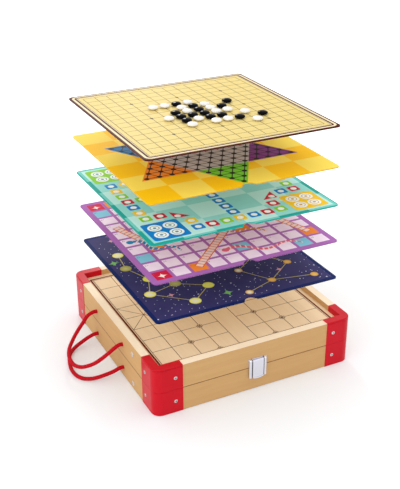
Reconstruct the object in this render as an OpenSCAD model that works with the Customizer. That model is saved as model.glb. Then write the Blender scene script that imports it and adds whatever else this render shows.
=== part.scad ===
// Games compendium box: a hinged wooden case with red corner guards, rope handles,
// a latch, five playing boards raised above the recess in its lid, and the pieces inside.
// Origin: middle of the case's footprint, on the surface it stands on. Front (latch) is -Y.

/* [Case] */
// Outside width over the corner guards
case_w = 300; // [270:1:330]
// Outside depth over the corner guards
case_d = 300; // [270:1:330]
// Height of each half of the case, guards included
half_h = 35.5; // [34:0.5:45]
// Thickness of the wooden walls
wall_t = 11; // [9:0.5:13]
// Gap at the seam between the two halves
seam_gap = 0.4; // [0.3:0.1:0.8]
// Thickness of the side walls' lip over the ends of the front and back walls
lap_lip = 4; // [3:0.5:5]

/* [Panels] */
// Depth of the board recess below the top of the guards
recess_depth = 9; // [8.5:0.5:11]
// Thickness of the top and bottom panels
panel_t = 3; // [2:0.5:4]
// Height of the bottom panel above the table
bottom_rise = 3; // [2.5:0.5:5]
// How far a panel reaches into the grooves in the walls
groove_depth = 4; // [2:0.5:5]
// Free space around a panel's edge inside its groove
groove_clear = 0.3; // [0.1:0.1:0.6]

/* [Corner guards] */
// Length of a guard along each side
guard_leg = 40.5; // [36:0.5:50]
// Thickness of a guard's skin
guard_t = 1.6; // [1.4:0.1:2.2]
// Radius of a guard's upright corner
guard_r = 13; // [8:0.5:18]
// How far a guard stands out from the wooden sides
guard_proud = 0.6; // [0.3:0.1:1]
// How far a guard stands above the rim and below the base
cap_proud = 0.8; // [0.4:0.1:1.1]
// Thickness of the guard's lip inside the recess
lip_t = 1; // [0.8:0.1:1.6]
// How far that lip stands out from the recess wall
lip_proud = 0.5; // [0.2:0.1:0.7]
// Rounding of the guard's outer edge
guard_edge_r = 1.2; // [0.5:0.1:1.5]
// Distance of a guard screw from the corner
guard_screw_in = 30; // [24:0.5:33]

/* [Boards] */
// Free space between a board and the recess wall
board_clear = 3.4; // [2:0.2:5]
// Radius of a board's corners
board_r = 6; // [2:0.5:12]
// Thickness of each of the four lower boards
board_t = 1.4; // [1:0.1:1.5]
// Thickness of the five-in-a-row board on top
top_board_t = 1.8; // [1.2:0.1:2]
// Gap between stacked boards
board_gap = 0.2; // [0.1:0.05:0.3]
// Height that the constellation board is lifted off the recess floor
lift_1 = 65; // [20:0.5:90]
// Height between the constellation board and the ladder board
lift_2 = 53.5; // [20:0.5:90]
// Height between the ladder board and the ludo board
lift_3 = 50.5; // [20:0.5:90]
// Height between the ludo board and the star board
lift_4 = 52; // [20:0.5:90]
// Height between the star board and the five-in-a-row board
lift_5 = 53; // [20:0.5:90]
// Sideways drift of the boards as they are lifted, for each mm of height
drift_x = -0.023; // [-0.05:0.001:0.05]
// Drift of the boards towards the back, for each mm of height
drift_y = 0.034; // [-0.05:0.001:0.05]
// Width of the finger notch in the front edge of a board
notch_w = 18; // [12:0.5:24]
// Depth of the finger notch
notch_d = 8; // [5:0.5:9]
// Easing radius where the notch meets the edge
notch_ease = 2; // [1:0.5:4]

/* [Stones] */
// Diameter of a stone
stone_d = 14; // [11:0.5:15]
// Thickness of a stone at its middle
stone_t = 5.2; // [3.5:0.1:6]
// Distance from the board's edge to the outer grid line
grid_inset = 16.2; // [14:0.1:20]
// Gap between a stone and the board
stone_gap = 0.2; // [0.1:0.1:0.4]

/* [Latch] */
// Width of the latch
latch_w = 27; // [24:0.5:32]
// Height of the latch above the seam
latch_up = 13.5; // [12:0.5:18]
// Depth of the latch's lever below the seam
latch_down = 17; // [14:0.5:18]
// Radius of the latch's round side rails
rail_r = 2.45; // [2.2:0.05:2.7]
// How far the side rails end above the lever's foot
rail_foot_in = 2.2; // [0:0.1:4]
// Thickness of the latch's base plate
latch_plate_t = 0.9; // [0.7:0.1:1]
// Radius of the lever's barrel around its pin
barrel_r = 1.3; // [1.1:0.05:1.4]
// Radius of the lever's pin
latch_pin_r = 0.6; // [0.4:0.05:0.7]
// Gap between the lever and each side rail
lever_side_gap = 0.4; // [0.2:0.1:0.6]
// Radius of the curve of the lever's bottom edge
lever_curve_r = 22; // [14:1:40]

/* [Hinges] */
// Gap between a hinge and the corner guard beside it
hinge_guard_gap = 12.5; // [2:0.5:20]
// Length of a hinge
hinge_len = 34; // [28:1:40]
// Height of a hinge leaf from the seam
leaf_h = 13.5; // [12:0.5:16]
// Thickness of a hinge leaf
leaf_t = 1; // [0.8:0.1:1.2]
// Radius of the hinge knuckles
knuckle_r = 2; // [1.7:0.1:2.1]
// Radius of a hinge pin
hinge_pin_r = 0.9; // [0.6:0.05:1.1]
// Reach of the hinge barrels and the latch beyond the guards
fitting_proud = 3.6; // [3.6:0.1:4.4]

/* [Ropes] */
// Thickness of the rope
rope_d = 5.5; // [4.5:0.1:6]
// Free space around the rope in its hole
rope_clear = 0.25; // [0.1:0.05:0.5]
// Depth of the upper rope's holes below the top of the case
rope_top_inset = 19; // [18:0.5:22]
// Height of the lower rope's holes above the table
rope_rise = 15; // [13:0.5:20]
// Place of the back rope holes, from the middle of the side
rope_back_y = 55; // [45:1:60]
// Place of the front rope holes, from the middle of the side
rope_front_y = -43; // [-60:1:-35]
// Radius of the knots inside the case
knot_r = 5.4; // [4.5:0.1:5.8]

/* [Battens and dividers] */
// Distance of the battens and the dividers from the middle
divider_y = 78; // [72:1:86]
// Thickness of a divider in the lower tray
divider_t = 6; // [4:0.5:8]
// Height of a divider above the bottom panel
divider_h = 24; // [16:0.5:27]
// Width of a batten under the top panel
batten_w = 12; // [8:0.5:16]
// Height of a batten under the top panel
batten_h = 6; // [5:0.5:8]
// Height of the lower side screws above the table
side_screw_rise = 10; // [9:0.5:18]

/* [Screws] */
// Radius of a case screw's shank
screw_r = 1.4; // [1:0.1:1.6]
// Radius of a case screw's head
screw_head_r = 2.5; // [2:0.1:3]
// Thickness of a case screw's head
screw_head_h = 1; // [0.8:0.1:1.2]
// Radius of a side screw's head
side_head_r = 3.6; // [2.5:0.1:4]
// Radius of a fitting screw's shank, for hinges and latch
small_screw_r = 0.9; // [0.6:0.1:1]
// Radius of a fitting screw's head
small_head_r = 1.6; // [1.4:0.1:2]
// Thickness of a fitting screw's head
small_head_h = 0.5; // [0.3:0.1:0.6]
// Length of a screw in the wood
screw_len = 8; // [6:0.5:8.5]

/* [Playing pieces] */
// Diameter of a chess disc
disc_d = 23; // [20:0.5:25]
// Thickness of a chess disc
disc_t = 8; // [6:0.5:10]
// Diameter of a race pawn's foot
pawn_d = 13; // [11:0.5:15]
// Height of a race pawn
pawn_h = 24; // [20:0.5:26]
// Diameter of a star peg's foot
peg_d = 9; // [8:0.5:10]
// Height of a star peg
peg_h = 14; // [12:0.5:16]
// Width of a die
die_w = 12; // [10:0.5:14]

/* [Hidden] */
$fn = 48;

case_h = 2 * half_h;
hinge_x = case_w / 2 - guard_leg - hinge_guard_gap - hinge_len / 2;
wood_w = case_w - 2 * guard_proud;
wood_d = case_d - 2 * guard_proud;
inner_w = wood_w - 2 * wall_t;
inner_d = wood_d - 2 * wall_t;
lower_top = half_h - seam_gap / 2;
upper_foot = half_h + seam_gap / 2;
recess_z = case_h - recess_depth;
tray_z = bottom_rise + panel_t;
guard_h = half_h - seam_gap / 2;
flange_w = guard_proud + wall_t + lip_proud;
beyond = 5;           // how far a cutting shape runs past what it cuts
fit_clear = 0.05;     // radial running clearance of pins and screws
head_sunk = 0.6;      // depth of a case screw's head in its seat
head_seat_clear = 0.1;

// The fittings' places: y counts outwards from the wooden face
fitting_reach = guard_proud + fitting_proud;
hinge_y = wood_d / 2 + fitting_reach - knuckle_r;
hinge_back = wood_d / 2 - hinge_y;
knuckle_count = 5;
knuckle_gap = 0.2;
lever_lip = 0.5;      // how far the lever's lip stands out from its plate
lever_pin_y = -(fitting_reach - lever_lip - barrel_r);
lever_pin_z = latch_up - rail_r;
lever_w = latch_w - 4 * rail_r - 2 * lever_side_gap;
rail_foot = rail_foot_in - latch_down;
lever_lip_h = 1.8;
lever_flange_t = 1;
lever_flange_d = 0.9;
keeper_w = 13.2;
keeper_t = 0.8;
lug_r = 0.9;
lug_drop = 9;         // depth of the keeper's lug below the seam
keeper_foot_in = 2;   // how far the keeper ends above the lever's foot
flange_foot_in = 2.5; // how far the lever's flanges end above its foot

// The fittings' screws, from the edges of the plates that they hold
latch_screw_side_in = 3.6;
latch_screw_top_in = 8.1;
keeper_screw_side_in = 2.6;
keeper_screw_drop = 3.75;
leaf_screw_end_in = 6.1;
leaf_screw_edge_in = 4.6;
latch_screw_x = lever_w / 2 - latch_screw_side_in;
latch_screw_z = latch_up - latch_screw_top_in;
keeper_screw_x = keeper_w / 2 - keeper_screw_side_in;
leaf_screw_x = hinge_len / 2 - leaf_screw_end_in;
leaf_screw_z = leaf_h - leaf_screw_edge_in;

// Boards, from the recess up: thickness, and rise above the stacked place
board_w = inner_w - 2 * board_clear;
board_d = inner_d - 2 * board_clear;
thicknesses = [board_t, board_t, board_t, board_t, top_board_t];
lifts = [lift_1, lift_2, lift_3, lift_4, lift_5];
function total(v, n) = n < 0 ? 0 : v[n] + total(v, n - 1);
function rise(i) = total(lifts, i);
function board_z(i) = recess_z + (i + 1) * board_gap + total(thicknesses, i - 1) + rise(i);
grid_lines = 15;
middle_line = (grid_lines - 1) / 2;
grid_pitch_x = (board_w - 2 * grid_inset) / (grid_lines - 1);
grid_pitch_y = (board_d - 2 * grid_inset) / (grid_lines - 1);

// Crossings of the 15 by 15 grid that hold a stone: column from the left, row from the back
black_points = [[6, 5], [7, 6], [7, 7], [5, 7], [5, 8], [6, 8], [7, 8], [5, 9], [7, 9],
    [8, 9], [9, 7], [10, 6], [9, 10], [11, 10]];
white_points = [[4, 5], [5, 5], [7, 5], [6, 6], [8, 6], [6, 7], [8, 7], [4, 8], [8, 8],
    [9, 8], [6, 9], [10, 9], [5, 10], [7, 10], [8, 10], [10, 11]];

// Middle lines of the two rope handles, from the back hole round to the front hole
wood_left = -wood_w / 2;
upper_rope_z = case_h - rope_top_inset;
upper_route = [[wood_left, rope_back_y, upper_rope_z], [-155, 55, 52], [-164, 55, 48],
    [-172, 53, 40], [-180, 50, 33], [-188, 45, 27], [-195, 38, 23], [-202, 29, 20],
    [-207, 18, 19], [-210, 7, 19], [-211, -4, 19], [-209, -14, 18], [-203, -23, 19],
    [-195, -30, 23], [-187, -35, 28], [-179, -38, 34], [-171, -41, 41], [-163, -43, 48],
    [-155, -43, 52], [wood_left, rope_front_y, upper_rope_z]];
lower_route = [[wood_left, rope_back_y, rope_rise], [-155, 55, 15], [-165, 55, 12],
    [-175, 54, 8], [-185, 51, 5], [-194, 45, 3], [-201, 35, 3], [-205, 24, 3],
    [-208, 13, 3], [-210, 2, 3], [-210, -9, 3], [-208, -19, 3], [-202, -28, 3],
    [-194, -34, 4], [-185, -38, 6], [-175, -41, 9], [-165, -43, 12], [-155, -43, 15],
    [wood_left, rope_front_y, rope_rise]];
rope_sides = 10;

// Stored pieces stand on the bottom panel
disc_pitch = disc_d + 3;
peg_pitch = peg_d + 1.5;
end_tray_y = (inner_d / 2 + divider_y + divider_t / 2) / 2;
disc_left_x = -0.22 * inner_w;
disc_right_x = 0.24 * inner_w;
disc_bevel = 1;
disc_ring_in = 3;     // from the disc's side to the ring cut into its top
disc_ring_w = 0.8;
disc_ring_depth = 0.4;
pawn_outer_x = 0.38 * inner_w;
pawn_inner_x = 0.13 * inner_w;
pawn_step = pawn_d * 0.8;
peg_block_x = 0.32 * inner_w;
peg_row_y = peg_pitch * 1.25;
die_step = die_w * 0.8;
die_turn = 18;
pip_r = 1.1;

// ---------- shared shapes ----------

module box(low, high) {
    translate(low) cube(high - low);
}

// A square whose corner at the origin is rounded
module corner_block(size, r) {
    translate([r, 0]) square([size - r, size]);
    translate([0, r]) square([size, size - r]);
    translate([r, r]) circle(r);
}

// Puts a shape drawn at the origin, with its legs along +X and +Y, on a corner of the case
module at_corner(side, face) {
    translate([side * case_w / 2, face * case_d / 2, 0])
        mirror([side > 0 ? 1 : 0, 0, 0])
            mirror([0, face > 0 ? 1 : 0, 0]) children();
}

module rounded_sheet(w, d, r, t) {
    linear_extrude(t) {
        square([w - 2 * r, d], center = true);
        square([w, d - 2 * r], center = true);
        for (x = [-1, 1], y = [-1, 1])
            translate([x * (w / 2 - r), y * (d / 2 - r)]) circle(r);
    }
}

// A screw whose length runs along +Z into the wood; its head ends at the height out
module screw(r, len, head_r, head_h, out) {
    difference() {
        union() {
            translate([0, 0, -out]) cylinder(h = head_h * 0.4, r1 = head_r * 0.8, r2 = head_r);
            translate([0, 0, head_h * 0.4 - out]) cylinder(h = head_h * 0.6, r = head_r);
            cylinder(h = len, r = r);
        }
        for (a = [0, 90])
            rotate(a) translate([-head_r * 0.6, -head_r * 0.11, -out - 1])
                cube([head_r * 1.2, head_r * 0.22, 1 + head_h * 0.6]);
    }
}

module case_screw(len) {
    screw(screw_r, len, screw_head_r, screw_head_h, screw_head_h - head_sunk);
}

// A tube of even thickness along a list of points
function unit(v) = v / norm(v);
function heading(route, i) =
    unit(route[min(i + 1, len(route) - 1)] - route[max(i - 1, 0)]);
function end_heading(route, i) =
    i == 0 || i == len(route) - 1 ? [heading(route, i).x, 0, 0] / abs(heading(route, i).x)
    : heading(route, i);
function ring(route, i, r, sides) =
    let (t = end_heading(route, i), a = unit(cross([0, 0, 1], t)), b = cross(t, a))
    [for (k = [0:sides - 1]) route[i] + r * (cos(360 * k / sides) * a + sin(360 * k / sides) * b)];

module tube(route, r, sides) {
    rings = len(route);
    points = [for (i = [0:rings - 1]) each ring(route, i, r, sides)];
    skin = [for (i = [0:rings - 2], k = [0:sides - 1])
        let (a = i * sides + k, b = i * sides + (k + 1) % sides)
        each [[a, a + sides, b], [b, a + sides, b + sides]]];
    first = [for (k = [0:sides - 1]) k];
    last = [for (k = [0:sides - 1]) rings * sides - 1 - k];
    polyhedron(points, concat(skin, [first], [last]));
}

// ---------- corner guards ----------

// The edge that is rounded off, along the guard's outer top
module guard_edge_cut() {
    module section() {
        difference() {
            translate([0, -guard_edge_r]) square([beyond, guard_edge_r + beyond]);
            circle(guard_edge_r);
            translate([-1, -guard_edge_r - 1]) square([1, guard_edge_r + beyond]);
        }
    }
    module run() {
        translate([guard_r, guard_edge_r, guard_h - guard_edge_r])
            rotate([90, 0, 90]) linear_extrude(guard_leg) mirror([1, 0]) section();
    }
    run();
    mirror([1, -1, 0]) run();
    translate([guard_r, guard_r, guard_h - guard_edge_r]) rotate(180)
        rotate_extrude(angle = 90) translate([guard_r - guard_edge_r, 0]) section();
}

// Places children at both screws of a guard, with +Z into the wood
module at_guard_screws() {
    translate([guard_screw_in, 0, guard_h / 2]) rotate([-90, 0, 0]) children();
    translate([0, guard_screw_in, guard_h / 2]) rotate([0, 90, 0]) children();
}

// One guard at the origin, from the seam up to its cap; with_lip adds the recess lip
module guard(with_lip) {
    color("crimson") difference() {
        union() {
            linear_extrude(guard_h) difference() {
                corner_block(guard_leg, guard_r);
                translate([guard_t, guard_t]) corner_block(guard_leg, guard_r - guard_t);
            }
            translate([0, 0, guard_h - guard_t]) linear_extrude(guard_t) difference() {
                corner_block(guard_leg, guard_r);
                translate([flange_w, flange_w]) square(guard_leg);
            }
            if (with_lip) guard_lip(0);
        }
        guard_edge_cut();
        at_guard_screws() {
            cylinder(h = 2 * head_sunk, r = screw_head_r + head_seat_clear, center = true);
            cylinder(h = 2 * beyond, r = screw_r + fit_clear, center = true);
        }
    }
}

module guard_lip(past) {
    translate([0, 0, guard_h - recess_depth]) linear_extrude(recess_depth - guard_t / 2)
        difference() {
            translate([flange_w - lip_t, flange_w - lip_t])
                square(guard_leg - flange_w + lip_t);
            translate([flange_w + past, flange_w + past]) square(guard_leg);
        }
}

// The space that a guard and the air outside it take out of the wood
module guard_seat(with_lip) {
    translate([0, 0, -1]) linear_extrude(guard_h + beyond) difference() {
        translate([-beyond, -beyond]) square(guard_leg + beyond);
        translate([guard_t, guard_t]) corner_block(guard_leg, guard_r - guard_t);
    }
    translate([0, 0, guard_h - guard_t]) linear_extrude(guard_t + beyond) difference() {
        translate([-beyond, -beyond]) square(guard_leg + beyond);
        translate([flange_w, flange_w]) square(guard_leg);
    }
    if (with_lip) guard_lip(beyond);
    at_guard_screws() cylinder(h = screw_len + fit_clear, r = screw_r + fit_clear);
}

// Stands children on the seam: the upper half as drawn, the lower half upside down
module on_seam(upper) {
    if (upper) translate([0, 0, upper_foot]) children();
    else translate([0, 0, lower_top]) mirror([0, 0, 1]) children();
}

module placed_guard(side, face, upper) {
    on_seam(upper) at_corner(side, face) guard(upper);
}

module guard_screws(upper) {
    color("silver") on_seam(upper)
        for (side = [-1, 1], face = [-1, 1])
            at_corner(side, face) at_guard_screws() case_screw(screw_len);
}

// ---------- walls and panels ----------

function foot(upper) = upper ? upper_foot : cap_proud;
function head(upper) = upper ? case_h - cap_proud : lower_top;
function groove_z(upper) = upper ? recess_z - panel_t : bottom_rise;

module panel_groove(upper) {
    box([-inner_w / 2 - groove_depth, -inner_d / 2 - groove_depth, groove_z(upper)],
        [inner_w / 2 + groove_depth, inner_d / 2 + groove_depth, groove_z(upper) + panel_t]);
}

module guard_seats(upper) {
    on_seam(upper)
        for (side = [-1, 1], face = [-1, 1]) at_corner(side, face) guard_seat(upper);
}

// Left and right walls run the full depth; a lip at each end covers the front and back walls
module side_wall(side, upper) {
    color("burlywood") difference() {
        mirror([side > 0 ? 1 : 0, 0, 0])
            box([wood_left, -wood_d / 2, foot(upper)],
                [wood_left + wall_t, wood_d / 2, head(upper)]);
        mirror([side > 0 ? 1 : 0, 0, 0])
            for (face = [0, 1]) mirror([0, face, 0])
                box([wood_left + lap_lip, -wood_d / 2 - 1, foot(upper) - 1],
                    [wood_left + wall_t + 1, -inner_d / 2, head(upper) + 1]);
        panel_groove(upper);
        guard_seats(upper);
        at_side_screws(upper) cylinder(h = wall_t + 1, r = screw_r + fit_clear);
        if (side < 0) rope_bores(upper);
    }
}

module cross_wall(face, upper) {
    color("burlywood") difference() {
        mirror([0, face > 0 ? 1 : 0, 0])
            box([wood_left + lap_lip, -wood_d / 2, foot(upper)],
                [-wood_left - lap_lip, -inner_d / 2, head(upper)]);
        panel_groove(upper);
        guard_seats(upper);
        if (face > 0) at_hinges() at_leaf_screws(upper) pilot(leaf_t);
        if (face < 0 && upper) at_latch() at_latch_screws() pilot(latch_plate_t);
        if (face < 0 && !upper) at_latch() at_keeper_screws() pilot(keeper_t);
    }
}

// The hole in the wood for a screw that holds a plate of thickness seat_t
module pilot(seat_t) {
    translate([0, 0, -beyond])
        cylinder(h = beyond + seat_t + screw_len + fit_clear, r = small_screw_r + fit_clear);
}

module panel(upper) {
    color("wheat")
        box([-inner_w / 2 - groove_depth + groove_clear,
             -inner_d / 2 - groove_depth + groove_clear, groove_z(upper)],
            [inner_w / 2 + groove_depth - groove_clear,
             inner_d / 2 + groove_depth - groove_clear, groove_z(upper) + panel_t]);
}

// Side screws hold the front batten of the upper half and the front divider of the tray
function side_screw_z(upper) =
    upper ? recess_z - panel_t - batten_h / 2 : side_screw_rise;

module at_side_screws(upper) {
    for (side = [0, 1])
        mirror([side, 0, 0])
            translate([wood_left, -divider_y, side_screw_z(upper)])
                rotate([0, 90, 0]) children();
}

module side_screws(upper) {
    color("silver") at_side_screws(upper)
        screw(screw_r, wall_t + screw_len, side_head_r, screw_head_h, screw_head_h);
}

module divider(face) {
    color("burlywood") difference() {
        translate([0, face * divider_y, tray_z])
            box([-inner_w / 2, -divider_t / 2, 0], [inner_w / 2, divider_t / 2, divider_h]);
        at_side_screws(false)
            cylinder(h = wall_t + screw_len + fit_clear, r = screw_r + fit_clear);
    }
}

module panel_battens() {
    color("burlywood") difference() {
        for (face = [-1, 1])
            translate([0, face * divider_y, recess_z - panel_t - batten_h])
                box([-inner_w / 2, -batten_w / 2, 0], [inner_w / 2, batten_w / 2, batten_h]);
        at_side_screws(true)
            cylinder(h = wall_t + screw_len + fit_clear, r = screw_r + fit_clear);
    }
}

// ---------- latch ----------

// Places children on the front face at the seam, with outwards along -Y
module at_latch() {
    translate([0, -wood_d / 2, half_h]) children();
}

// Places children on a screw's seat, with +Z into the wood
module at_latch_screws() {
    for (x = [-1, 1]) translate([x * latch_screw_x, -latch_plate_t, latch_screw_z])
        rotate([-90, 0, 0]) children();
}

module at_keeper_screws() {
    for (x = [-1, 1]) translate([x * keeper_screw_x, -keeper_t, -keeper_screw_drop])
        rotate([-90, 0, 0]) children();
}

module small_screw(seat_t) {
    screw(small_screw_r, seat_t + screw_len, small_head_r, small_head_h, small_head_h);
}

module lever_pin_bore() {
    translate([-latch_w, lever_pin_y, lever_pin_z])
        rotate([0, 90, 0]) cylinder(h = 2 * latch_w, r = latch_pin_r + fit_clear);
}

module latch_base() {
    color("gainsboro") at_latch() difference() {
        union() {
            box([-latch_w / 2, -latch_plate_t, seam_gap], [latch_w / 2, 0, latch_up]);
            for (x = [-1, 1]) intersection() {
                translate([x * (latch_w / 2 - rail_r), rail_r - fitting_reach, 0]) {
                    translate([0, 0, rail_foot])
                        cylinder(h = lever_pin_z - rail_foot, r = rail_r);
                    translate([0, 0, lever_pin_z]) sphere(rail_r);
                }
                box([-latch_w, -fitting_reach, rail_foot],
                    [latch_w, 0.1 - latch_plate_t, latch_up]);
            }
        }
        lever_pin_bore();
        at_latch_screws() cylinder(h = beyond, r = small_screw_r + fit_clear, center = true);
    }
}

module latch_screws() {
    color("silver") at_latch() at_latch_screws() small_screw(latch_plate_t);
}

module latch_pin() {
    color("silver") at_latch()
        translate([1 - latch_w / 2, lever_pin_y, lever_pin_z])
            rotate([0, 90, 0]) cylinder(h = latch_w - 2, r = latch_pin_r);
}

// Outline of the lever: straight sides and a bowed bottom edge
module lever_outline(foot_z) {
    intersection() {
        translate([-lever_w / 2, foot_z]) square([lever_w, lever_pin_z - foot_z]);
        union() {
            translate([0, foot_z + lever_curve_r]) circle(lever_curve_r, $fn = 96);
            translate([-lever_w / 2, 0]) square([lever_w, lever_pin_z]);
        }
    }
}

module latch_lever() {
    plate_y = lever_pin_y;
    color("gainsboro") at_latch() difference() {
        union() {
            translate([0, plate_y, 0]) rotate([90, 0, 0])
                linear_extrude(barrel_r) lever_outline(-latch_down);
            translate([0, plate_y, 0]) rotate([90, 0, 0])
                linear_extrude(barrel_r + lever_lip) difference() {
                    lever_outline(-latch_down);
                    translate([0, lever_lip_h]) lever_outline(-latch_down);
                    translate([-lever_w / 2 - 1, -latch_down + 2 * lever_lip_h])
                        square([lever_w + 2, 2 * latch_w]);
                }
            for (x = [-1, 1]) translate([x * (lever_w - lever_flange_t) / 2, 0, 0])
                box([-lever_flange_t / 2, plate_y - 0.2, flange_foot_in - latch_down],
                    [lever_flange_t / 2, plate_y + lever_flange_d, lever_pin_z]);
            translate([-lever_w / 2, lever_pin_y, lever_pin_z])
                rotate([0, 90, 0]) cylinder(h = lever_w, r = barrel_r);
        }
        lever_pin_bore();
    }
}

module keeper() {
    color("silver") at_latch() difference() {
        union() {
            box([-keeper_w / 2, -keeper_t, keeper_foot_in - latch_down],
                [keeper_w / 2, 0, -seam_gap]);
            translate([0.6 - keeper_w / 2, -keeper_t - 0.2, -lug_drop])
                rotate([0, 90, 0]) cylinder(h = keeper_w - 1.2, r = lug_r);
        }
        at_keeper_screws() cylinder(h = beyond, r = small_screw_r + fit_clear, center = true);
        box([-keeper_w, 0, -latch_down], [keeper_w, beyond, 0]);
    }
}

module keeper_screws() {
    color("silver") at_latch() at_keeper_screws() small_screw(keeper_t);
}

// ---------- hinges ----------

// Places children on both hinge axes, on the back face at the seam
module at_hinges() {
    for (side = [-1, 1]) at_hinge(side) children();
}

module at_hinge(side) {
    translate([side * hinge_x, hinge_y, half_h]) children();
}

// Places children on a leaf screw's seat, with +Z into the wood
module at_leaf_screws(upper) {
    for (x = [-1, 1])
        translate([x * leaf_screw_x, hinge_back + leaf_t, (upper ? 1 : -1) * leaf_screw_z])
            rotate([90, 0, 0]) children();
}

module knuckle_span(i, y_low, y_high, z_low, z_high, gap) {
    span = hinge_len / knuckle_count;
    box([i * span - hinge_len / 2 + gap / 2, y_low, z_low],
        [(i + 1) * span - hinge_len / 2 - gap / 2, y_high, z_high]);
}

module hinge_leaf(upper) {
    own = upper ? 1 : 0;
    span = hinge_len / knuckle_count;
    color("silver") difference() {
        mirror([0, 0, upper ? 0 : 1]) {
            difference() {
                box([-hinge_len / 2, hinge_back, seam_gap],
                    [hinge_len / 2, hinge_back + leaf_t, leaf_h]);
                for (i = [0:knuckle_count - 1])
                    if (i % 2 != own)
                        knuckle_span(i, hinge_back - 1, beyond, -beyond,
                            knuckle_r + knuckle_gap, -knuckle_gap);
            }
            for (i = [own:2:knuckle_count - 1]) {
                knuckle_span(i, hinge_back, 0, seam_gap, knuckle_r, knuckle_gap);
                translate([i * span - hinge_len / 2 + knuckle_gap / 2, 0, 0])
                    rotate([0, 90, 0]) cylinder(h = span - knuckle_gap, r = knuckle_r);
            }
        }
        translate([-hinge_len, 0, 0])
            rotate([0, 90, 0]) cylinder(h = 2 * hinge_len, r = hinge_pin_r + fit_clear);
        at_leaf_screws(upper)
            cylinder(h = beyond, r = small_screw_r + fit_clear, center = true);
    }
}

module hinge_pin() {
    head_t = 0.8;
    head_r = hinge_pin_r * 1.6;
    color("silver") translate([-hinge_len / 2, 0, 0]) rotate([0, 90, 0]) {
        cylinder(h = hinge_len, r = hinge_pin_r);
        translate([0, 0, hinge_len]) cylinder(h = head_t, r = head_r);
        translate([0, 0, -head_t]) cylinder(h = head_t, r = head_r);
    }
}

module hinge_screws(upper) {
    color("silver") at_hinges() at_leaf_screws(upper) small_screw(leaf_t);
}

// ---------- ropes ----------

function rope_z(upper) = upper ? upper_rope_z : rope_rise;

module rope_bores(upper) {
    for (y = [rope_back_y, rope_front_y])
        translate([wood_left - 1, y, rope_z(upper)])
            rotate([0, 90, 0]) cylinder(h = wall_t + 2, r = rope_d / 2 + rope_clear);
}

// The rope's ends inside the case: the length in the wall, then a knot of two turns
module rope_knots(upper) {
    strand_r = knot_r * 0.4;
    color("firebrick")
        for (y = [rope_back_y, rope_front_y])
            translate([wood_left, y, rope_z(upper)]) rotate([0, 90, 0]) {
                cylinder(h = wall_t, r = rope_d / 2);
                translate([0, 0, wall_t]) {
                    cylinder(h = 4 * strand_r, r = rope_d / 2);
                    translate([0, 0, 4 * strand_r]) sphere(rope_d / 2);
                    for (turn = [0, 1])
                        translate([0, 0, strand_r * (1 + 1.6 * turn)]) rotate_extrude()
                            translate([knot_r - strand_r - 0.6 * turn, 0]) circle(strand_r);
                }
            }
}

module rope_handle(route) {
    color("firebrick") tube(route, rope_d / 2, rope_sides);
}

// ---------- boards and stones ----------

// Places children where the lifted board i lies, with its underside at z = 0
module at_board(i) {
    translate([drift_x * rise(i), drift_y * rise(i), board_z(i)]) children();
}

module finger_notch() {
    r = notch_w / 2;
    translate([0, -board_d / 2 - (r - notch_d)]) circle(r);
    translate([0, -board_d / 2]) difference() {
        translate([-r - notch_ease, -1]) square([2 * (r + notch_ease), notch_ease + 1]);
        for (x = [-1, 1]) translate([x * (r + notch_ease), notch_ease]) circle(notch_ease);
    }
}

module notched_board(i, tint) {
    color(tint) at_board(i) difference() {
        rounded_sheet(board_w, board_d, board_r, board_t);
        translate([0, 0, -1]) linear_extrude(board_t + 2) finger_notch();
    }
}

module five_row_board() {
    color("khaki") at_board(4) rounded_sheet(board_w, board_d, board_r, top_board_t);
}

// A lens with a rounded face on each side
module stone() {
    dome_r = (pow(stone_d / 2, 2) + pow(stone_t / 2, 2)) / stone_t;
    intersection() {
        translate([0, 0, dome_r]) sphere(dome_r);
        translate([0, 0, stone_t - dome_r]) sphere(dome_r);
    }
}

module stones(points) {
    at_board(4)
        for (p = points)
            translate([(p[0] - middle_line) * grid_pitch_x,
                (middle_line - p[1]) * grid_pitch_y, top_board_t + stone_gap]) stone();
}

// ---------- playing pieces in the lower tray ----------

module disc() {
    r = disc_d / 2;
    difference() {
        rotate_extrude() polygon([[0, 0], [r - disc_bevel, 0], [r, disc_bevel],
            [r, disc_t - disc_bevel], [r - disc_bevel, disc_t], [0, disc_t]]);
        translate([0, 0, disc_t - disc_ring_depth]) difference() {
            cylinder(h = 1, r = r - disc_ring_in);
            translate([0, 0, -1]) cylinder(h = 3, r = r - disc_ring_in - disc_ring_w);
        }
    }
}

module discs(middle_x) {
    for (i = [0:3], j = [0:3])
        translate([middle_x + (i - 1.5) * disc_pitch, (j - 1.5) * disc_pitch, tray_z]) disc();
}

// A turned piece: a foot, a tapered body and a ball on top
module pawn(d, h) {
    ball_r = d * 0.31;
    cylinder(h = h * 0.08, r = d / 2);
    cylinder(h = h - ball_r, r1 = d / 2 * 0.92, r2 = ball_r * 0.5);
    translate([0, 0, h - ball_r]) sphere(ball_r);
}

module pawns(middle_x) {
    for (i = [-1, 1], j = [-1, 1])
        translate([middle_x + i * pawn_step, j * pawn_step - end_tray_y, tray_z])
            pawn(pawn_d, pawn_h);
}

module star_pegs() {
    color("orchid")
        for (i = [-1:1], j = [-1, 1], p = [-2:2], q = [0, 1])
            translate([i * peg_block_x + p * peg_pitch,
                end_tray_y + j * peg_row_y + (q - 0.5) * peg_pitch, tray_z])
                pawn(peg_d, peg_h);
}

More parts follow.
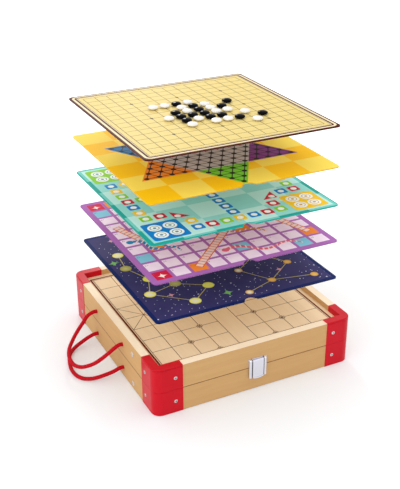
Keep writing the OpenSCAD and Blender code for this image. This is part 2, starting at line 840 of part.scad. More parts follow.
// A die with its pips: opposite faces add up to seven
module die() {
    half = die_w / 2;
    step = die_w * 0.25;
    one = [[0, 0]];
    two = [[-1, -1], [1, 1]];
    three = concat(one, two);
    four = [[-1, -1], [1, 1], [-1, 1], [1, -1]];
    five = concat(one, four);
    six = concat(four, [[-1, 0], [1, 0]]);
    turns = [[0, 0, 0], [180, 0, 0], [90, 0, 0], [-90, 0, 0], [0, 90, 0], [0, -90, 0]];
    faces = [one, six, two, five, three, four];
    translate([0, 0, half]) difference() {
        intersection() {
            cube(die_w, center = true);
            sphere(die_w * 0.72);
        }
        for (f = [0:5]) rotate(turns[f])
            for (p = faces[f])
                translate([p[0] * step, p[1] * step, half + pip_r * 0.55]) sphere(pip_r);
    }
}

module dice() {
    color("ivory")
        for (j = [-1, 1])
            translate([0, j * die_step - end_tray_y, tray_z]) rotate(j * die_turn) die();
}

// ---------- what is drawn ----------

cross_wall(-1, false);  // lower_front_wall
cross_wall(1, false);  // lower_back_wall
side_wall(-1, false);  // lower_left_wall
side_wall(1, false);  // lower_right_wall
panel(false);  // bottom_panel
cross_wall(-1, true);  // upper_front_wall
cross_wall(1, true);  // upper_back_wall
side_wall(-1, true);  // upper_left_wall
side_wall(1, true);  // upper_right_wall
panel(true);  // top_panel
placed_guard(-1, -1, false);  // lower_guard_front_left
placed_guard(1, -1, false);  // lower_guard_front_right
placed_guard(-1, 1, false);  // lower_guard_back_left
placed_guard(1, 1, false);  // lower_guard_back_right
placed_guard(-1, -1, true);  // upper_guard_front_left
placed_guard(1, -1, true);  // upper_guard_front_right
placed_guard(-1, 1, true);  // upper_guard_back_left
placed_guard(1, 1, true);  // upper_guard_back_right
guard_screws(false);  // lower_guard_screws
guard_screws(true);  // upper_guard_screws
side_screws(false);  // lower_side_screws
side_screws(true);  // upper_side_screws
divider(-1);  // front_divider
divider(1);  // back_divider
panel_battens();
latch_base();
latch_lever();
latch_pin();
latch_screws();
keeper();
keeper_screws();
at_hinge(-1) hinge_leaf(true);  // left_hinge_upper_leaf
at_hinge(-1) hinge_leaf(false);  // left_hinge_lower_leaf
at_hinge(-1) hinge_pin();  // left_hinge_pin
at_hinge(1) hinge_leaf(true);  // right_hinge_upper_leaf
at_hinge(1) hinge_leaf(false);  // right_hinge_lower_leaf
at_hinge(1) hinge_pin();  // right_hinge_pin
hinge_screws(true);  // upper_hinge_screws
hinge_screws(false);  // lower_hinge_screws
rope_handle(upper_route);  // upper_rope
rope_handle(lower_route);  // lower_rope
rope_knots(true);  // upper_rope_knots
rope_knots(false);  // lower_rope_knots
notched_board(0, "midnightblue");  // constellation_board
notched_board(1, "mediumpurple");  // ladder_board
notched_board(2, "mediumturquoise");  // ludo_board
notched_board(3, "gold");  // star_board
five_row_board();
color("black") stones(black_points);  // black_stones
color("white") stones(white_points);  // white_stones
color("tan") discs(disc_left_x);  // red_discs
color("tan") discs(disc_right_x);  // black_discs
color("red") pawns(-pawn_outer_x);  // red_pawns
color("gold") pawns(-pawn_inner_x);  // yellow_pawns
color("green") pawns(pawn_inner_x);  // green_pawns
color("blue") pawns(pawn_outer_x);  // blue_pawns
star_pegs();
dice();
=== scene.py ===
import math
import bmesh
import bpy
import numpy as np
from mathutils import Matrix, Vector


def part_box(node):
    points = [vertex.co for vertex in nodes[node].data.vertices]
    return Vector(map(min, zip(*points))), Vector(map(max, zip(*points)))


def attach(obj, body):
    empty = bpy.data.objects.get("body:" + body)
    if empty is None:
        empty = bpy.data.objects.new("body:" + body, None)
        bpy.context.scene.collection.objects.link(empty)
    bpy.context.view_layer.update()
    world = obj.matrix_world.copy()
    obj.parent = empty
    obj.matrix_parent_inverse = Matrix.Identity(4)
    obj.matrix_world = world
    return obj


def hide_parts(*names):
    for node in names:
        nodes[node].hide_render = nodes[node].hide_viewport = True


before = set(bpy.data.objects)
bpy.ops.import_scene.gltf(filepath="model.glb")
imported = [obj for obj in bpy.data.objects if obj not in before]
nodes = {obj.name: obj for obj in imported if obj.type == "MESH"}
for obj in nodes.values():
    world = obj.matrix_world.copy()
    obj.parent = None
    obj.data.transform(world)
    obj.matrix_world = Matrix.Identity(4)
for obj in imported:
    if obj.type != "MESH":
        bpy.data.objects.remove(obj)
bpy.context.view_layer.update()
print("frame loaded")

cameraView = {
    "azimuth": -26.5,                   # degrees round the case from its front
    "elevation": 26.3,                  # degrees above the table
    "roll": -0.22,                      # degrees
    "distance": 1.216,                  # metres from the target
    "target": (-0.031, -0.0468, 0.180),
    "focal": 906,                       # pixels of the photograph
    "longSide": 489,                    # pixels of the photograph
    "offCentre": (1.5, -1.5),           # pixels, from the middle of the frame
}


def makeCamera(look):
    turn = math.radians(look["azimuth"])
    lift = math.radians(look["elevation"])
    back = Vector((math.sin(turn) * math.cos(lift), -math.cos(turn) * math.cos(lift), math.sin(lift)))
    right = Vector((math.cos(turn), math.sin(turn), 0))
    up = back.cross(right)
    rolled = Matrix.Rotation(math.radians(look["roll"]), 4, "Z")
    axes = Matrix((right, up, back)).transposed().to_4x4() @ rolled
    data = bpy.data.cameras.new("photoCamera")
    data.sensor_width = 36
    data.lens = look["focal"] * data.sensor_width / look["longSide"]
    data.shift_x = -look["offCentre"][0] / look["longSide"]
    data.shift_y = look["offCentre"][1] / look["longSide"]
    data.clip_end = 50
    camera = bpy.data.objects.new("photoCamera", data)
    camera.matrix_world = Matrix.Translation(Vector(look["target"]) + back * look["distance"]) @ axes
    bpy.context.scene.collection.objects.link(camera)
    bpy.context.scene.camera = camera


makeCamera(cameraView)
bpy.context.scene.view_settings.view_transform = "Standard"
print("camera set")


def addPiece(name, points, faces, finish, body, smooth=True, uvs=None):
    # puts whole arrays of points (n, 3) and four-sided faces (m, 4) into a mesh that rides on a body
    mesh = bpy.data.meshes.new(name)
    mesh.from_pydata(points.tolist(), [], faces.tolist())
    if uvs is not None:
        layer = mesh.uv_layers.new(name="along")
        layer.data.foreach_set("uv", uvs.astype(np.float32).ravel())
    mesh.polygons.foreach_set("use_smooth", np.full(len(mesh.polygons), smooth))
    mesh.update()
    piece = bpy.data.objects.new(name, mesh)
    piece.data.materials.append(finish.material)
    bpy.context.scene.collection.objects.link(piece)
    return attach(piece, body) if body else piece


def gridFaces(rows, columns, closed):
    # quads between the rows of a grid of points; closed joins the last column to the first
    across = columns if closed else columns - 1
    row, column = np.meshgrid(np.arange(rows - 1), np.arange(across), indexing="ij")
    nextColumn = (column + 1) % columns
    corners = [row * columns + column, row * columns + nextColumn,
               (row + 1) * columns + nextColumn, (row + 1) * columns + column]
    return np.stack(corners, -1).reshape(-1, 4)


def ink(red, green, blue):
    # an everyday 0..255 colour as the linear colour that a shader takes
    part = np.array([red, green, blue]) / 255
    linear = np.where(part <= 0.04045, part / 12.92, ((part + 0.055) / 1.055) ** 2.4)
    return (*linear.tolist(), 1.0)


class Val:
    # a socket of a finish; arithmetic and comparisons on it add Math nodes
    def __init__(self, work, socket):
        self.work = work
        self.socket = socket

    def math(self, operation, first, second=0.0, clamp=False):
        settings = {"operation": operation, "use_clamp": clamp}
        return self.work.node("ShaderNodeMath", settings, {0: first, 1: second})

    def __add__(self, other):
        return self.math("ADD", self, other)

    def __radd__(self, other):
        return self.math("ADD", other, self)

    def __sub__(self, other):
        return self.math("SUBTRACT", self, other)

    def __rsub__(self, other):
        return self.math("SUBTRACT", other, self)

    def __mul__(self, other):
        return self.math("MULTIPLY", self, other)

    def __rmul__(self, other):
        return self.math("MULTIPLY", other, self)

    def __truediv__(self, other):
        return self.math("DIVIDE", self, other)

    def __rtruediv__(self, other):
        return self.math("DIVIDE", other, self)

    def __pow__(self, other):
        return self.math("POWER", self, other)

    def __abs__(self):
        return self.math("ABSOLUTE", self)

    def __lt__(self, other):
        return self.math("LESS_THAN", self, other)

    def __gt__(self, other):
        return self.math("GREATER_THAN", self, other)

    def __and__(self, other):
        return self.math("MULTIPLY", self, other)

    def __or__(self, other):
        return self.math("MAXIMUM", self, other)

    def least(self, other):
        return self.math("MINIMUM", self, other)

    def most(self, other):
        return self.math("MAXIMUM", self, other)

    def clamped(self):
        return self.math("ADD", self, 0.0, clamp=True)

    def wave(self):
        return self.math("SINE", self)

    def whole(self):
        return self.math("ROUND", self)

    def over(self, pitch):
        # what is left after whole pitches, always 0 or more
        return self.math("FLOORED_MODULO", self, pitch)

    def fromLine(self, pitch):
        # distance to the nearest of the lines that stand a pitch apart, one of them at 0
        return self.math("PINGPONG", self, pitch / 2)

    def within(self, low, high):
        return (self > low) & (self < high)


shaderWords = {
    "coat": "Coat Weight",
    "coatRoughness": "Coat Roughness",
    "metallic": "Metallic",
    "roughness": "Roughness",
    "specular": "Specular IOR Level",
}


class Finish:
    # one material: a shader, its node tree and the ways to add to it
    def __init__(self, name, **fixed):
        self.material = bpy.data.materials.new(name)
        self.material.use_nodes = True
        self.tree = self.material.node_tree
        self.tree.nodes.clear()
        self.shader = self.tree.nodes.new("ShaderNodeBsdfPrincipled")
        self.output = self.tree.nodes.new("ShaderNodeOutputMaterial")
        self.tree.links.new(self.shader.outputs[0], self.output.inputs[0])
        for word, value in fixed.items():
            self.shader.inputs[shaderWords[word]].default_value = value

    def node(self, kind, settings, values, out=0):
        # adds a node: its settings first, then a number, a tuple or a link for each socket
        made = self.tree.nodes.new(kind)
        for key, value in settings.items():
            if key == "stops":
                made.color_ramp.interpolation = "CONSTANT" if len(value) > 2 else "LINEAR"
                for place, (position, colour) in enumerate(value):
                    # a new ramp has two stops already
                    stops = made.color_ramp.elements
                    stop = stops[place] if place < 2 else stops.new(position)
                    stop.position = position
                    stop.color = colour
            else:
                setattr(made, key, value)
        for key, value in values.items():
            if isinstance(value, Val):
                self.tree.links.new(value.socket, made.inputs[key])
            else:
                made.inputs[key].default_value = value
        return Val(self, made.outputs[out])

    def drive(self, word, value):
        if isinstance(value, Val):
            self.tree.links.new(value.socket, self.shader.inputs[word])
        else:
            self.shader.inputs[word].default_value = value

    def millimetres(self, centre=(0, 0, 0)):
        # the piece's own coordinates in mm, counted from a point in metres
        objectPlace = self.node("ShaderNodeTexCoord", {}, {}, "Object")
        shift = tuple(-1000 * part for part in centre)
        return self.node("ShaderNodeMapping", {}, {0: objectPlace, 1: shift, 3: (1000, 1000, 1000)})

    def stretched(self, vector, factors):
        return self.node("ShaderNodeVectorMath", {"operation": "MULTIPLY"}, {0: vector, 1: factors})

    def parts(self, vector):
        first = self.node("ShaderNodeSeparateXYZ", {}, {0: vector})
        outputs = first.socket.node.outputs
        return [Val(self, socket) for socket in outputs]

    def joined(self, x, y, z=0.0):
        return self.node("ShaderNodeCombineXYZ", {}, {0: x, 1: y, 2: z})

    def distance(self, vector, point):
        return self.node("ShaderNodeVectorMath", {"operation": "DISTANCE"}, {0: vector, 1: point}, "Value")

    def dotted(self, vector, other):
        return self.node("ShaderNodeVectorMath", {"operation": "DOT_PRODUCT"}, {0: vector, 1: other}, "Value")

    def noise(self, vector, scale, detail=2.0, roughness=0.5):
        values = {"Vector": vector, "Scale": scale, "Detail": detail, "Roughness": roughness}
        return self.node("ShaderNodeTexNoise", {}, values)

    def mix(self, mask, under, over):
        settings = {"data_type": "RGBA", "clamp_factor": True}
        return self.node("ShaderNodeMix", settings, {0: mask, 6: under, 7: over}, 2)

    def choose(self, mask, first, second):
        # the first value where the mask is 0, the second where it is 1
        return self.node("ShaderNodeMix", {"data_type": "FLOAT"}, {0: mask, 2: first, 3: second})

    def shade(self, colour, factor):
        # a colour made lighter or darker by a number that may vary
        plain = colour if isinstance(colour, Val) else colour[:3]
        return self.node("ShaderNodeVectorMath", {"operation": "SCALE"}, {0: plain, "Scale": factor})

    def bump(self, height, depth, strength=1.0):
        values = {"Height": height, "Distance": depth, "Strength": strength}
        self.drive("Normal", self.node("ShaderNodeBump", {}, values))


def dress(finish, *names):
    for name in names:
        nodes[name].data.materials.clear()
        nodes[name].data.materials.append(finish.material)


# The routes are those of the case's source, in metres, from the back hole to the front hole
ropeHandles = {
    "diameter": 0.0055,
    "sides": 24,
    "ringStep": 0.0011,      # between the rings of the tube
    "plaitPitch": 0.009,     # along the rope, for one turn of a strand
    "strands": 8,
    "strandRise": 0.035,     # share of the radius
    "tint": ink(214, 12, 34),
    # painted shade: the tone of the plait's hollows, where shade falls between the strands
    "tintDark": ink(150, 2, 16),
    "upper": [(-0.1494, 0.055, 0.052), (-0.155, 0.055, 0.052), (-0.164, 0.055, 0.048),
              (-0.172, 0.053, 0.040), (-0.180, 0.050, 0.033), (-0.188, 0.045, 0.027),
              (-0.195, 0.038, 0.023), (-0.202, 0.029, 0.020), (-0.207, 0.018, 0.019),
              (-0.210, 0.007, 0.019), (-0.211, -0.004, 0.019), (-0.209, -0.014, 0.018),
              (-0.203, -0.023, 0.019), (-0.195, -0.030, 0.023), (-0.187, -0.035, 0.028),
              (-0.179, -0.038, 0.034), (-0.171, -0.041, 0.041), (-0.163, -0.043, 0.048),
              (-0.155, -0.043, 0.052), (-0.1494, -0.043, 0.052)],
    "lower": [(-0.1494, 0.055, 0.015), (-0.155, 0.055, 0.015), (-0.165, 0.055, 0.012),
              (-0.175, 0.054, 0.008), (-0.185, 0.051, 0.005), (-0.194, 0.045, 0.003),
              (-0.201, 0.035, 0.003), (-0.205, 0.024, 0.003), (-0.208, 0.013, 0.003),
              (-0.210, 0.002, 0.003), (-0.210, -0.009, 0.003), (-0.208, -0.019, 0.003),
              (-0.202, -0.028, 0.003), (-0.194, -0.034, 0.004), (-0.185, -0.038, 0.006),
              (-0.175, -0.041, 0.009), (-0.165, -0.043, 0.012), (-0.155, -0.043, 0.015),
              (-0.1494, -0.043, 0.015)],
}


def ropeFinish():
    work = Finish("redRope", specular=0.12)
    along = work.node("ShaderNodeUVMap", {"uv_map": "along"}, {})
    u, v, _ = work.parts(along)
    # two families of strands wind round the rope in opposite directions
    leftHand = (u * 2 * math.pi + v * 2 * math.pi * ropeHandles["strands"]).wave()
    rightHand = (u * 2 * math.pi - v * 2 * math.pi * ropeHandles["strands"]).wave()
    plait = (leftHand * rightHand + 1) * 0.5
    place = work.millimetres()
    fibre = work.noise(work.stretched(place, (2, 2, 2)), 1.4, 3)
    # painted shade: darker where the plait's bump is low, in the hollows between the strands; the fibre noise
    # varies the tone at random
    tint = work.mix(plait * 0.6 + fibre * 0.5, ropeHandles["tintDark"], ropeHandles["tint"])
    work.drive("Base Color", tint)
    work.drive("Roughness", 0.6 + fibre * 0.2)
    work.bump(plait + fibre * 0.3, 0.0003, 0.6)
    return work


def smoothPath(route, step):
    # a curve through all the points: each stretch is a cubic whose ends have the chord's heading
    points = np.array(route)
    before = np.vstack([2 * points[:1] - points[1:2], points[:-1]])
    after = np.vstack([points[1:], 2 * points[-1:] - points[-2:-1]])
    heading = (after - before) / 2
    pieces = 12
    t = np.linspace(0, 1, pieces, endpoint=False)[:, None, None]
    start, end = points[:-1][None], points[1:][None]
    startHeading, endHeading = heading[:-1][None], heading[1:][None]
    curve = ((2 * t**3 - 3 * t**2 + 1) * start + (t**3 - 2 * t**2 + t) * startHeading
             + (-2 * t**3 + 3 * t**2) * end + (t**3 - t**2) * endHeading)
    curve = np.vstack([curve.transpose(1, 0, 2).reshape(-1, 3), points[-1:]])
    travelled = np.concatenate([[0], np.cumsum(np.linalg.norm(np.diff(curve, axis=0), axis=1))])
    wanted = np.linspace(0, travelled[-1], int(travelled[-1] / step) + 1)
    return np.stack([np.interp(wanted, travelled, curve[:, k]) for k in range(3)], 1), wanted


def makeRope(name, route, size, finish):
    # a tube round the path: centre + r (cos a * side + sin a * top), with r a little larger on the strands
    path, travelled = smoothPath(route, size["ringStep"])
    heading = np.gradient(path, axis=0)
    heading[0] = (-1, 0, 0)
    heading[-1] = (1, 0, 0)
    heading /= np.linalg.norm(heading, axis=1, keepdims=True)
    side = np.cross((0, 0, 1), heading)
    side /= np.linalg.norm(side, axis=1, keepdims=True)
    top = np.cross(heading, side)
    angle = np.arange(size["sides"]) / size["sides"] * 2 * np.pi
    turns = travelled[:, None] / size["plaitPitch"] * 2 * np.pi
    strands = np.sin(turns + angle * size["strands"] / 2) * np.sin(turns - angle * size["strands"] / 2)
    radius = size["diameter"] / 2 * (1 - size["strandRise"] / 2 + size["strandRise"] * strands)
    points = (path[:, None] + radius[..., None] * (np.cos(angle)[:, None] * side[:, None]
                                                  + np.sin(angle)[:, None] * top[:, None]))
    rings, sides = len(path), size["sides"]
    faces = gridFaces(rings, sides, True)
    row, column = np.divmod(faces[:, 0], sides)
    u = travelled / size["plaitPitch"]
    uvs = np.stack([np.stack([u[row + dr], (column + dc) / sides], -1)
                    for dr, dc in ((0, 0), (0, 1), (1, 1), (1, 0))], 1)
    piece = addPiece(name, points.reshape(-1, 3), faces, finish, None, uvs=uvs)
    sealEnds(piece)
    return piece


def sealEnds(piece):
    # closes open rims and turns every face outwards
    made = bmesh.new()
    made.from_mesh(piece.data)
    rims = [edge for edge in made.edges if edge.is_boundary]
    bmesh.ops.holes_fill(made, edges=rims, sides=0)
    bmesh.ops.recalc_face_normals(made, faces=made.faces)
    made.to_mesh(piece.data)
    made.free()


redRope = ropeFinish()
for half in ("upper", "lower"):
    rope = makeRope(half + "_rope_handle", ropeHandles[half], ropeHandles, redRope)
    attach(rope, half + "_case")
    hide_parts(half + "_rope")
dress(redRope, "upper_rope", "lower_rope")
print("rope handles made")


caseWood = {
    "side": ink(213, 172, 118),
    "sideDark": ink(197, 152, 98),
    # the walls' top faces: partly their own paler tone, partly painted light for the stronger light on them
    "rim": ink(255, 241, 218),
    "rimDark": ink(250, 229, 198),
    "panel": ink(250, 228, 196),
    "panelDark": ink(236, 210, 172),
    # painted shade along the seam, for the shadow in the gap between the halves
    "seam": ink(96, 62, 30),
    "seamShadeBand": (34.9, 36.1),      # mm
    "outerFace": 149.1,              # mm from the middle, just inside the walls' outer faces
    "rimHeight": 70.15,              # mm, just under the walls' tops
}


def grain(work, place, along):
    # streaks drawn out along one axis: broad bands of growth with fine fibres on them
    broad = {"x": (0.004, 0.11, 0.11), "y": (0.11, 0.004, 0.11)}[along]
    fine = {"x": (0.03, 1.6, 1.6), "y": (1.6, 0.03, 1.6)}[along]
    bands = work.noise(work.stretched(place, broad), 1.0, 3, 0.6)
    fibres = work.noise(work.stretched(place, fine), 1.0, 2, 0.5)
    return ((bands - 0.5) * 0.9 + (fibres - 0.5) * 0.9 + 0.5).clamped(), fibres


def woodFinish(name, along, pale, dark, onWalls=False):
    # varnished wood; on the walls the top faces are painted paler, partly their own paler tone and partly
    # painted light standing in for the stronger light that falls on them
    work = Finish(name, specular=0.14)
    place = work.millimetres()
    streaks, fibres = grain(work, place, along)
    colour = work.mix(streaks, dark, pale)
    if onWalls:
        # painted shade: a dark band on the outer faces beside the seam, for the shadow in the gap between the
        # halves
        x, y, z = work.parts(place)
        seam = z.within(*caseWood["seamShadeBand"]) & (abs(x).most(abs(y)) > caseWood["outerFace"])
        colour = work.mix(seam * 0.75, colour, caseWood["seam"])
        # painted light in part: the top faces paler than the sides
        rim = work.mix(streaks, caseWood["rimDark"], caseWood["rim"])
        colour = work.mix(z > caseWood["rimHeight"], colour, rim)
    work.drive("Base Color", colour)
    work.drive("Roughness", 0.5 + fibres * 0.15)
    work.bump(fibres, 0.00006, 0.5)
    return work


frontWood = woodFinish("caseWoodAlongFront", "x", caseWood["side"], caseWood["sideDark"], onWalls=True)
sideWood = woodFinish("caseWoodAlongSide", "y", caseWood["side"], caseWood["sideDark"], onWalls=True)
innerWood = woodFinish("trayWood", "x", caseWood["panel"], caseWood["panelDark"])
for half in ("upper", "lower"):
    dress(frontWood, half + "_front_wall", half + "_back_wall")
    dress(sideWood, half + "_left_wall", half + "_right_wall")
dress(innerWood, "bottom_panel", "front_divider", "back_divider", "panel_battens")


def mouldedFinish(name, pale, dark, roughness, coat=0.0, specular=0.3, depth=0.00004):
    # moulded plastic or enamel: faint clouds in the colour and a fine skin
    work = Finish(name, coat=coat, coatRoughness=0.12, specular=specular)
    place = work.millimetres()
    clouds = work.noise(place, 0.05, 2)
    skin = work.noise(place, 1.3, 3)
    work.drive("Base Color", work.mix(clouds, dark, pale))
    work.drive("Roughness", roughness - 0.05 + skin * 0.1)
    work.bump(skin, depth, 0.35)
    return work


def metalFinish(name, colour, roughness, along="x"):
    # polished metal: brushed hairlines and a little tarnish
    work = Finish(name, metallic=1.0)
    place = work.millimetres()
    factors = {"x": (0.15, 6, 6), "z": (6, 6, 0.15)}[along]
    hairlines = work.noise(work.stretched(place, factors), 1.0, 2)
    tarnish = work.noise(place, 0.12, 3)
    work.drive("Base Color", work.shade(colour, 0.93 + tarnish * 0.12))
    work.drive("Roughness", roughness - 0.04 + hairlines * 0.08)
    work.bump(hairlines, 0.00003, 0.25)
    return work


guardScrews = {
    "metal": ink(228, 226, 224),
    "fromMiddle": 120.0,          # mm along a wall
    "seam": 35.5,                 # height of the seam, mm
    "rise": 17.85,                # mm from the seam, up or down
    "wall": 148.0,                # mm from the middle, just inside the front and back heads
    "crossHalf": 0.42,
    "crossReach": 1.75,
    "rim": (2.15, 4.0),           # radii between which a head is in its own shadow
}


def guardScrewFinish(size):
    # metal heads with the shadow of the driver's cross, found by folding all of them onto one
    work = metalFinish("guardScrewMetal", size["metal"], 0.28)
    x, y, z = work.parts(work.millimetres())
    onFront = abs(y) > size["wall"]
    across = abs(work.choose(onFront, abs(y), abs(x)) - size["fromMiddle"])
    up = abs(abs(z - size["seam"]) - size["rise"])
    cross = (across.least(up) < size["crossHalf"]) & (across.most(up) < size["crossReach"])
    inner, outer = size["rim"]
    rim = (across * across + up * up).within(inner ** 2, outer ** 2)
    work.drive("Base Color", work.shade(size["metal"], 1 - cross * 0.78 - rim * 0.45))
    return work


guardTints = (ink(207, 12, 34), ink(196, 9, 30))
guardRed = mouldedFinish("guardRed", *guardTints, 0.3, specular=0.16)
for half in ("upper", "lower"):
    for corner in ("front_left", "front_right", "back_left", "back_right"):
        dress(guardRed, half + "_guard_" + corner)


latchParts = {
    "metal": ink(226, 228, 240),
    # painted shade: a dark line on the metal beside each running gap
    "gapAt": 8.9,             # mm from the latch's middle
    "gapHalf": 0.5,
}


def latchFinish(size):
    # polished like the other metal; the metal beside the running gaps of the lever is painted dark, as
    # painted shade for the shadow in the gaps
    work = metalFinish("latchMetal", size["metal"], 0.16, "z")
    x = work.parts(work.millimetres())[0]
    # painted shade in and beside the gaps, made less metallic so that it stays dark
    gapShade = abs(abs(x) - size["gapAt"]) < size["gapHalf"]
    work.drive("Base Color", work.shade(size["metal"], 1 - gapShade * 0.82))
    work.drive("Metallic", 1 - gapShade * 0.6)
    return work


plainMetal = {"screw": ink(224, 222, 220), "hinge": ink(182, 182, 188)}
latchMetal = latchFinish(latchParts)
screwMetal = metalFinish("screwMetal", plainMetal["screw"], 0.28)
hingeMetal = metalFinish("hingeMetal", plainMetal["hinge"], 0.36)
dress(latchMetal, "latch_base", "latch_lever", "latch_pin", "keeper")
dress(guardScrewFinish(guardScrews), "lower_guard_screws", "upper_guard_screws")
dress(screwMetal, "lower_side_screws", "upper_side_screws", "latch_screws", "keeper_screws",
      "upper_hinge_screws", "lower_hinge_screws")
for side in ("left", "right"):
    dress(hingeMetal, side + "_hinge_upper_leaf", side + "_hinge_lower_leaf", side + "_hinge_pin")
dress(redRope, "upper_rope_knots", "lower_rope_knots")
print("case dressed")


boardHalf = 135.0      # mm
printSkin = 0.08       # mm down from a board's upper face, or up from its lower one, where the edge begins


class Print:
    # a flat picture on the upward face of a board, painted from back to front in mm about its middle
    def __init__(self, name, node, ground, edge, roughness=0.5, specular=0.05,
                 under=(ink(236, 222, 196), ink(248, 238, 218))):
        low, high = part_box(node)
        self.node = node
        self.under = under
        self.work = Finish(name, specular=specular)
        self.depth = 1000 * (high.z - low.z)
        self.place = self.work.millimetres(((low.x + high.x) / 2, (low.y + high.y) / 2, high.z))
        self.x, self.y, self.z = self.work.parts(self.place)
        self.flat = self.work.joined(self.x, self.y)
        self.colour = ground
        self.edge = edge
        self.roughness = roughness

    def paint(self, mask, colour):
        self.colour = self.work.mix(mask, self.colour, colour)

    def spot(self, x, y, radius):
        return self.work.distance(self.flat, (x, y, 0)) < radius

    def block(self, x, y, halfWidth, halfDepth):
        return (abs(self.x - x) - halfWidth).most(abs(self.y - y) - halfDepth) < 0

    def tile(self, offX, offY, half, radius=2.2):
        # a square with rounded corners round the place where both offsets are 0
        overX = (abs(offX) - (half - radius)).most(0)
        overY = (abs(offY) - (half - radius)).most(0)
        return overX * overX + overY * overY < radius * radius

    def bar(self, start, end, halfWidth):
        # all that is nearer than halfWidth to the straight line from start to end
        run = np.subtract(end, start)
        share = run / np.dot(run, run)
        offset = self.work.node("ShaderNodeVectorMath", {"operation": "SUBTRACT"},
                                {0: self.flat, 1: (*start, 0)})
        along = self.work.dotted(offset, (*share.tolist(), 0)).clamped()
        nearest = self.work.node("ShaderNodeVectorMath", {"operation": "SCALE"},
                                 {0: (*run.tolist(), 0), "Scale": along})
        return self.work.distance(offset, nearest) < halfWidth

    def lane(self, start, end):
        # distance along and across a straight line, and the line's length
        run = np.subtract(end, start)
        length = float(np.linalg.norm(run))
        ux, uy = (run / length).tolist()
        along = self.work.dotted(self.flat, (ux, uy, 0)) - (ux * start[0] + uy * start[1])
        across = self.work.dotted(self.flat, (-uy, ux, 0)) - (ux * start[1] - uy * start[0])
        return along, across, length

    def sparkle(self, x, y, radius):
        # a star with four points: the square roots of both distances add up to that of the radius
        return abs(self.x - x) ** 0.5 + abs(self.y - y) ** 0.5 < radius ** 0.5

    def chequer(self, cell):
        # 1 on the squares of the front left corner's colour
        column = (self.x / cell + 0.5).whole()
        row = (self.y / cell + 0.5).whole()
        return (column + row).over(2) < 0.5

    def finish(self):
        # edges and underside keep their own colours, with a faint wood fibre under the print
        work = self.work
        fibres = work.noise(work.stretched(self.place, (0.05, 1.2, 1.0)), 1.0, 2)
        clouds = work.noise(self.place, 0.03, 2)
        top = work.shade(self.colour, 0.965 + fibres * 0.03 + clouds * 0.035)
        colour = work.mix(self.z < -printSkin, top, self.edge)
        under = work.mix(fibres, *self.under)
        work.drive("Base Color", work.mix(self.z < printSkin - self.depth, colour, under))
        work.drive("Roughness", self.roughness - 0.04 + fibres * 0.08)
        work.bump(fibres, 0.00004, 0.35)
        dress(work, self.node)


fiveRow = {
    "field": ink(230, 207, 132),
    "line": ink(84, 62, 30),
    "border": ink(76, 22, 16),
    "cream": ink(242, 224, 180),
    "dot": ink(40, 28, 20),
    "lines": 15,
    "inset": 16.2,       # mm from the edge to the first line
    "lineHalf": 0.4,
    "dotRadius": 2.1,
    "bands": [            # mm from the edge
        (-3.0, 10.6, "cream"),
        (9.7, 10.4, "border"),
        (5.9, 8.7, "border"),
        (-3.0, 2.6, "border"),
    ],
    "core": 124.0,        # half of the square whose outline the bands follow at a distance
    "dotLine": 4,        # lines between the middle and the dots
}


def printFiveRow(size):
    sheet = Print("fiveRowPrint", "five_row_board", size["field"], size["border"])
    half = boardHalf
    reach = half - size["inset"]
    pitch = 2 * reach / (size["lines"] - 1)
    x, y = sheet.x, sheet.y
    inside = abs(x).most(abs(y)) < reach + size["lineHalf"]
    beyondX, beyondY = (abs(x) - size["core"]).most(0), (abs(y) - size["core"]).most(0)
    outward = (beyondX * beyondX + beyondY * beyondY) ** 0.5 + size["core"]
    lines = (x.fromLine(pitch) < size["lineHalf"]) | (y.fromLine(pitch) < size["lineHalf"])
    sheet.paint(lines & inside, size["line"])
    dotX = abs(abs(x) - size["dotLine"] * pitch).least(abs(x))
    dotY = abs(abs(y) - size["dotLine"] * pitch).least(abs(y))
    sheet.paint(dotX * dotX + dotY * dotY < size["dotRadius"] ** 2, size["dot"])
    for low, high, word in size["bands"]:
        sheet.paint(outward.within(half - high, half - low), size[word])
    sheet.finish()


printFiveRow(fiveRow)


starBoard = {
    "pale": ink(255, 228, 92),
    "deep": ink(255, 202, 0),
    "edge": ink(226, 168, 20),
    "line": ink(24, 20, 22),
    "hole": ink(18, 14, 18),
    "cell": 45.0,
    "pitch": 17.5,        # mm between neighbouring holes
    "tip": 131.0,         # mm from the middle to a point of the star
    "holeRadius": 3.5,
    "lineHalf": 0.7,
    "lineEnd": 4.0,       # mm from a line's end to the star's outline
    "middle": ink(196, 190, 198),
    "points": {
        "front": ink(120, 206, 52),
        "frontLeft": ink(238, 138, 38),
        "frontRight": ink(132, 52, 142),
        "back": ink(214, 30, 46),
        "backLeft": ink(16, 124, 200),
        "backRight": ink(24, 160, 150),
    },
}


